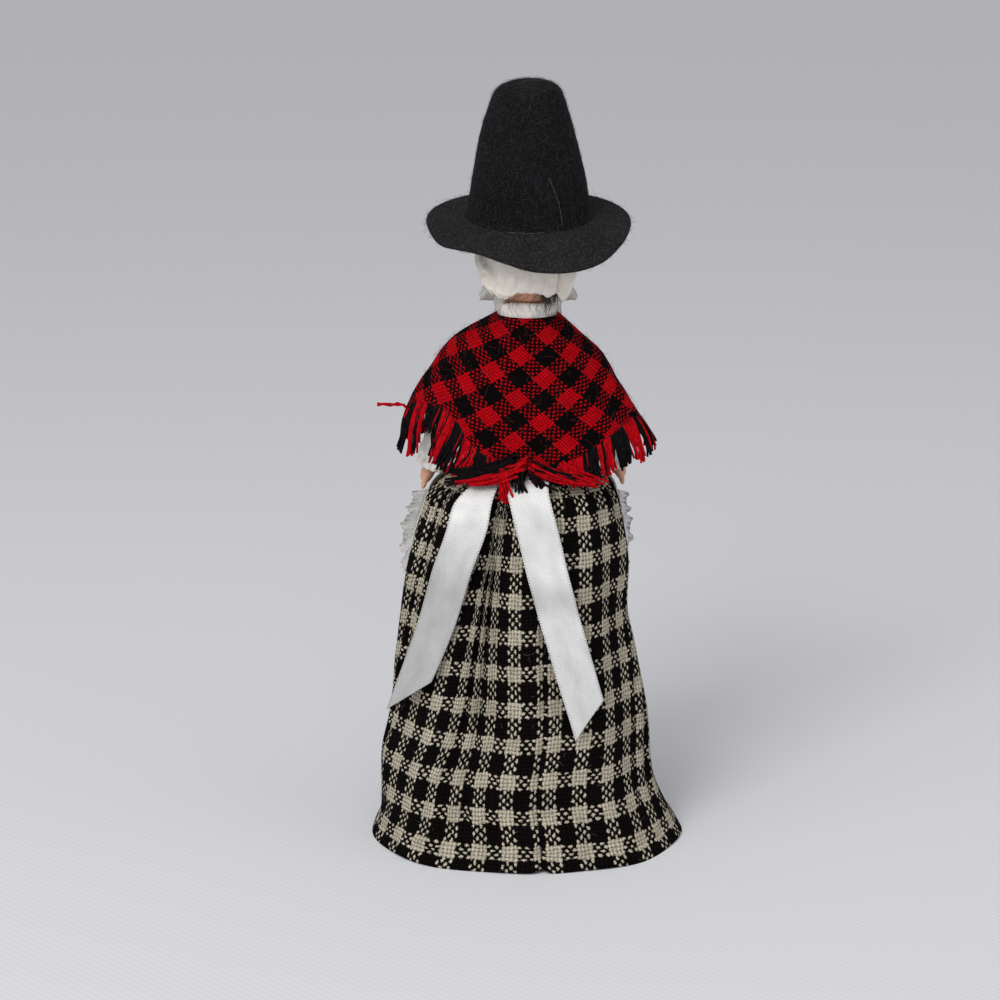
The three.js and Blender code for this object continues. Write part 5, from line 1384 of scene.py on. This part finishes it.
KNOT_PLACE = np.array([5.0, 13.55, 104.6])
knot = rounded("satin_knot", 1.0, KNOT_PLACE, (4.2, 1.3, 2.1), around=64)
tied = points_of(knot) - KNOT_PLACE
pinch = 1 - 0.28 * np.exp(-((tied[:, 0] / 1.1) ** 2))
tied[:, 1:] *= pinch[:, None]
tied *= (1 + 0.06 * np.sin(4 * tied[:, 2] + 1.5 * tied[:, 0]))[:, None]
move_points(knot, tied + KNOT_PLACE)
smoothed(knot)
knot_satin = finish("knot_satin", (0.70, 0.69, 0.68), 0.38)
pulled = speckle(knot_satin, stretched(knot_satin, coords(knot_satin), (300, 300, 1400)), 1.0, 2.0)
colour_by(knot_satin, tint(knot_satin, pulled, (0.6, 0.59, 0.58), (0.74, 0.73, 0.72)))
relief(knot_satin, pulled, 0.2)
settled(knot, knot_satin, "body", "satin", "sash_knot")

over_crests = raised(skirt_place, STAND_OFF)


def tail_hang(which):
    def hang(across, down):
        drop = TAIL_TOP + (TAIL_DROP[which] - TAIL_TOP) * down
        if which == "left":
            opened = np.sin(0.5 * math.pi * np.clip((drop - TAIL_TOP) / 9, 0, 1))
            offset = SASH_WIDTH * across * (0.4 + 0.6 * opened)
        else:
            offset = SASH_WIDTH * (across - 1)
        slanted = drop + CUT_SLANT * offset * eased(down, 0.7, 1)
        turn = np.radians(tail_turn[which](slanted)[0])
        free = np.column_stack([np.cos(0.7 * turn), -np.sin(0.7 * turn), np.zeros_like(turn)])
        places = over_crests(turn + TAIL_CLING * offset / skirt_oval(slanted)[0], slanted)
        places += free * (offset * (1 - TAIL_CLING))[:, None]
        if which == "left":
            lift = 1.1 * np.sin(2.2 * math.pi * down + 0.4) * down
            lift = lift - 0.5 * np.exp(-(((down - 0.1 - 0.06 * across) / 0.03) ** 2)) * across
        else:
            lift = 1.8 * np.exp(-(((drop - 28) / 5) ** 2)) - 0.8 * np.exp(-(((drop - 37) / 4) ** 2))
            lift = lift + 0.5 * np.sin(2 * math.pi * down) * (across - 0.5)
        cup = 0.3 * (2 * across - 1) ** 2
        places += outward(turn) * (lift + cup)[:, None]
        return places, np.column_stack([SASH_WIDTH * across, slanted])

    return hang


# Painted sheen: the right tail is painted brighter all along; the left one is brighter near the knot and
# painted darker further down, where it turns over.
tail_satin = {
    "left": satin_finish("left_tail_satin", SASH_WIDTH, 1.2, 0.76),
    "right": satin_finish("right_tail_satin", SASH_WIDTH, 1.22, 1.22),
}
for which, longest in TAIL_DROP.items():
    tail = sewn("satin_tail_" + which, 30, 150, tail_hang(which), 0.25)
    settled(tail, tail_satin[which], "body", "satin", "sash_tail_" + which)

# Shawl. A square of red and black check wool, folded corner to corner, with its cut edges frayed into a
# fringe of loose yarns. It lies over the shoulders with its point behind and its ends crossed in front.
NECK_Z = 141.0
SHAWL_END = 195.0
SHAWL_CLOTH = 0.6
BIAS_DRAWN = 1.2
shawl_oval = {  # distance below the neck, half width on that side, half depth
    1: through(
        [
            (0, 8.2, 8.0), (5.6, 18.2, 11.6), (9.7, 22.3, 12.9), (13.6, 24.6, 13.9), (17.6, 27.3, 14.8),
            (21.5, 29.5, 15.5), (26, 31.2, 16.2), (34, 32.4, 16.8), (46, 32.6, 17.4),
        ]
    ),
    -1: through(
        [
            (0, 7.8, 8.0), (5.6, 13.9, 11.4), (9.7, 18.4, 12.8), (13.6, 21.0, 13.9), (17.6, 23.1, 14.8),
            (21.5, 25.8, 15.5), (25.5, 28.2, 16.1), (29.4, 30.4, 16.5), (33.2, 31.8, 16.8),
            (37, 32.4, 17.0), (46, 32.4, 17.4),
        ]
    ),
}
cloth_edge = through(
    [
        (-195, 26), (-150, 26), (-115, 27.5), (-93, 27.8), (-64, 27), (-46, 29), (-38, 30.7), (-28, 33),
        (-16, 35.5), (0, 36.6), (11, 35.6), (25, 31.8), (36, 25.6), (51, 22.6), (64, 22.6), (92, 23.6),
        (115, 25), (150, 26), (195, 26),
    ]
)
fringe_end = through(
    [
        (-195, 33), (-150, 34), (-110, 35), (-83, 34.6), (-67, 36.8), (-50, 37.6), (-30, 40.6), (0, 41),
        (20, 40), (40, 37), (46, 35), (51, 28.6), (59, 28.6), (63, 34.8), (86, 33), (110, 34), (150, 34),
        (195, 33),
    ]
)


def shawl_place(side, turn, drop, lift=0.0):
    """A place on the shawl, by degrees from the back towards the doll's left and distance below the neck."""
    half_width, half_depth = shawl_oval[side](drop)
    share = np.clip(drop / 40, 0, 1)
    fold = 0.9 * share**2 * (0.5 - 0.5 * np.cos(np.radians(7 * turn)))
    drape = 0.35 * np.sin(np.radians(11 * turn) + drop / 7) * eased(drop, 6, 20)
    out = fold + drape + 1.6 * eased(turn, 130, 165) + lift
    angle = np.radians(turn)
    x, y = (half_width + out) * np.sin(angle), (half_depth + out) * np.cos(angle)
    return np.column_stack([x, y, NECK_Z - drop])


def shawl_flat(side, turn, drop):
    """Where that place lay on the flat cloth: round from the middle of the back, and down from the neck."""
    half_width, half_depth = shawl_oval[side](drop)
    parts = np.linspace(0, 1, 25)
    turns = np.radians(turn)[:, None] * parts
    round_way = np.hypot(half_width[:, None] * np.cos(turns), half_depth[:, None] * np.sin(turns)).mean(1)
    drops = drop[:, None] * parts
    wide, deep = shawl_oval[side](drops.ravel())
    wide, deep = wide.reshape(drops.shape), deep.reshape(drops.shape)
    angle = np.radians(turn)[:, None]
    radius = np.hypot(wide * np.sin(angle), deep * np.cos(angle))
    down_way = np.hypot(np.diff(radius, axis=1), np.diff(drops, axis=1)).sum(1)
    return np.column_stack([round_way * np.radians(turn), BIAS_DRAWN * down_way])


def shawl_hang(side):
    def hang(along, down):
        turn = SHAWL_END * (along if side > 0 else along - 1)
        high = 15 * eased(np.abs(turn), 112, SHAWL_END)
        drop = high + (cloth_edge(turn)[0] - high) * down
        return shawl_place(side, turn, drop), shawl_flat(side, turn, drop)

    return hang


RED = (0.60, 0.003, 0.009)
BLACK = (0.0055, 0.0035, 0.004)
YARN = 0.78
STRIPE = 6
FRINGE_PITCH = 0.31
FRINGE_RADIUS = 0.34
ODD_YARNS = 0.16  # share of the fringe in the other colour than its stripe's
SHAWL_BIAS = 49.0  # degrees that the check lies turned
shawl_stripes = (STRIPE, 2 * STRIPE)
shawl_wool = check_weave(
    "shawl_wool", BLACK, RED, (YARN, YARN), (shawl_stripes, shawl_stripes), 0.8, SHAWL_BIAS, (1.0, 3.0)
)


def yarn_finish(name, dark, bright):
    """Soft spun wool yarn: two plies twisted together, with a bloom of fibres."""
    yarn = finish(name, bright, 0.95, Specular_IOR_Level=0.03)
    place = coords(yarn)
    twist = speckle(yarn, stretched(yarn, place, (1500, 1500, 700)), 1.0, 2.0)
    colour_by(yarn, tint(yarn, ranged(yarn, twist, 0.3, 0.7), dark, bright))
    relief(yarn, twist, 0.2)
    return yarn


red_yarn = yarn_finish("red_yarn", (0.2, 0.003, 0.006), RED)
black_yarn = yarn_finish("black_yarn", (0.003, 0.0025, 0.003), (0.010, 0.008, 0.009))
RED_LINT_SHADES = (0.015, 0.012, 0.012), (0.4, 0.04, 0.04)
red_lint, _ = speckled("shawl_lint", (0.2, 0.05, 0.05), 0.9, 70.0, *RED_LINT_SHADES)

BUNDLES = {  # yarns drawn along the waist and hanging behind: from and to (turn, drop), count, colour
    1: [
        ((2, 35.8), (33, 40.6), 16, 0),
        ((6, 34.8), (33, 38.6), 9, 1),
        ((4, 37.2), (24, 40.8), 9, 0),
        ((12, 36.2), (34, 40.6), 6, 1),
        ((11, 40.6), (9, 45.2), 12, 0),
        ((4, 38.0), (1, 44.0), 6, 1),
    ],
    -1: [
        ((-4, 37.4), (-29, 41.2), 11, 0),
        ((-3, 36.0), (-24, 39.4), 9, 1),
        ((-14, 36.0), (-33, 41.0), 8, 0),
        ((-1, 38.2), (-9, 42.6), 7, 1),
        ((-2, 37.0), (-18, 40.4), 8, 0),
    ],
}
draw = np.random.default_rng(23)
for which, side in SIDES.items():
    half = sewn("shawl_" + which, 190, 74, shawl_hang(side), SHAWL_CLOTH)
    half.data.materials.append(shawl_wool)

    edge_turns = side * np.linspace(0.4, SHAWL_END - 0.4, 600)
    edge = shawl_place(side, edge_turns, cloth_edge(edge_turns)[0])
    edge_lengths = np.concatenate([[0], np.cumsum(np.linalg.norm(np.diff(edge, axis=0), axis=1))])
    fringe_routes, fringe_kinds = [], []
    s = np.linspace(0, 1, 7)
    for place in np.arange(0.3, edge_lengths[-1], FRINGE_PITCH):
        stripe = math.floor(place / (STRIPE * YARN))
        middle = np.interp((stripe + 0.5) * STRIPE * YARN, edge_lengths, edge_turns)
        turn = np.interp(place, edge_lengths, edge_turns)
        top = cloth_edge(np.array([turn]))[0][0] - 0.7
        end = fringe_end(np.array([turn]))[0][0] + draw.normal(-0.3, 0.6)
        swept = 9 * math.exp(-(((turn - 33) / 11) ** 2))  # the arm pushes these forwards
        curl = draw.normal(0, 0.9) * np.sin(draw.uniform(4, 7) * s + draw.uniform(0, 6)) * s
        turns = turn + ((middle - turn) * 0.35 + swept + draw.normal(0, 1.2)) * s**1.3 + curl
        drops = top + (end - top) * s
        lean = draw.uniform(-0.1, 0.9) + 0.4 * np.sin(4 * s + draw.uniform(0, 6)) * s
        fringe_routes.append(shawl_place(side, turns, drops, -0.35 + lean * s))
        fringe_kinds.append((stripe + (side > 0) + (draw.uniform() < ODD_YARNS)) % 2)
    for first, last, count, colour in BUNDLES[side]:
        for _ in range(count):
            start = np.array(first) + draw.normal(0, (1.2, 0.7))
            end = np.array(last) + draw.normal(0, (2.5, 0.5))
            route = start + (end - start) * s[:, None]
            sag = draw.normal(0.3, 0.5) * np.sin(np.pi * s)
            lean = draw.uniform(0.3, 1.5) + 0.3 * np.sin(4 * s + draw.uniform(0, 6))
            turns = side * np.maximum(side * route[:, 0], -6)
            fringe_routes.append(shawl_place(side, turns, route[:, 1] + sag, lean))
            fringe_kinds.append(colour)
    if side > 0:  # one red yarn that has worked loose and sticks out past the shoulder
        loose = [(29.8, 2.0, 117.2), (31.0, 2.6, 115.5), (31.8, 2.8, 114.2), (30.8, 2.4, 113.9)]
        loose += [(30.6, 2.2, 115.6), (32.0, 2.6, 117.2), (33.6, 2.8, 117.5), (35.4, 2.6, 117.2)]
        loose += [(37.2, 2.8, 117.5), (38.8, 2.9, 117.4)]
        for ply in (0, math.pi):  # two plies laid round each other
            twist = ply + 2.1 * np.arange(len(loose))
            fringe_routes.append(loose + 0.3 * np.column_stack([0 * twist, np.sin(twist), np.cos(twist)]))
            fringe_kinds.append(0)
    yarns = [red_yarn, black_yarn]
    fringe = threads("shawl_fringe_" + which, fringe_routes, FRINGE_RADIUS, yarns, fringe_kinds, 0.9, 1)
    fuzz = stray_fibres("shawl_fuzz_" + which, half, 420, 1.8, 0.022, red_lint, 29 + side)
    for piece in (half, fringe, fuzz):
        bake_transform(piece)
    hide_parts("shawl")
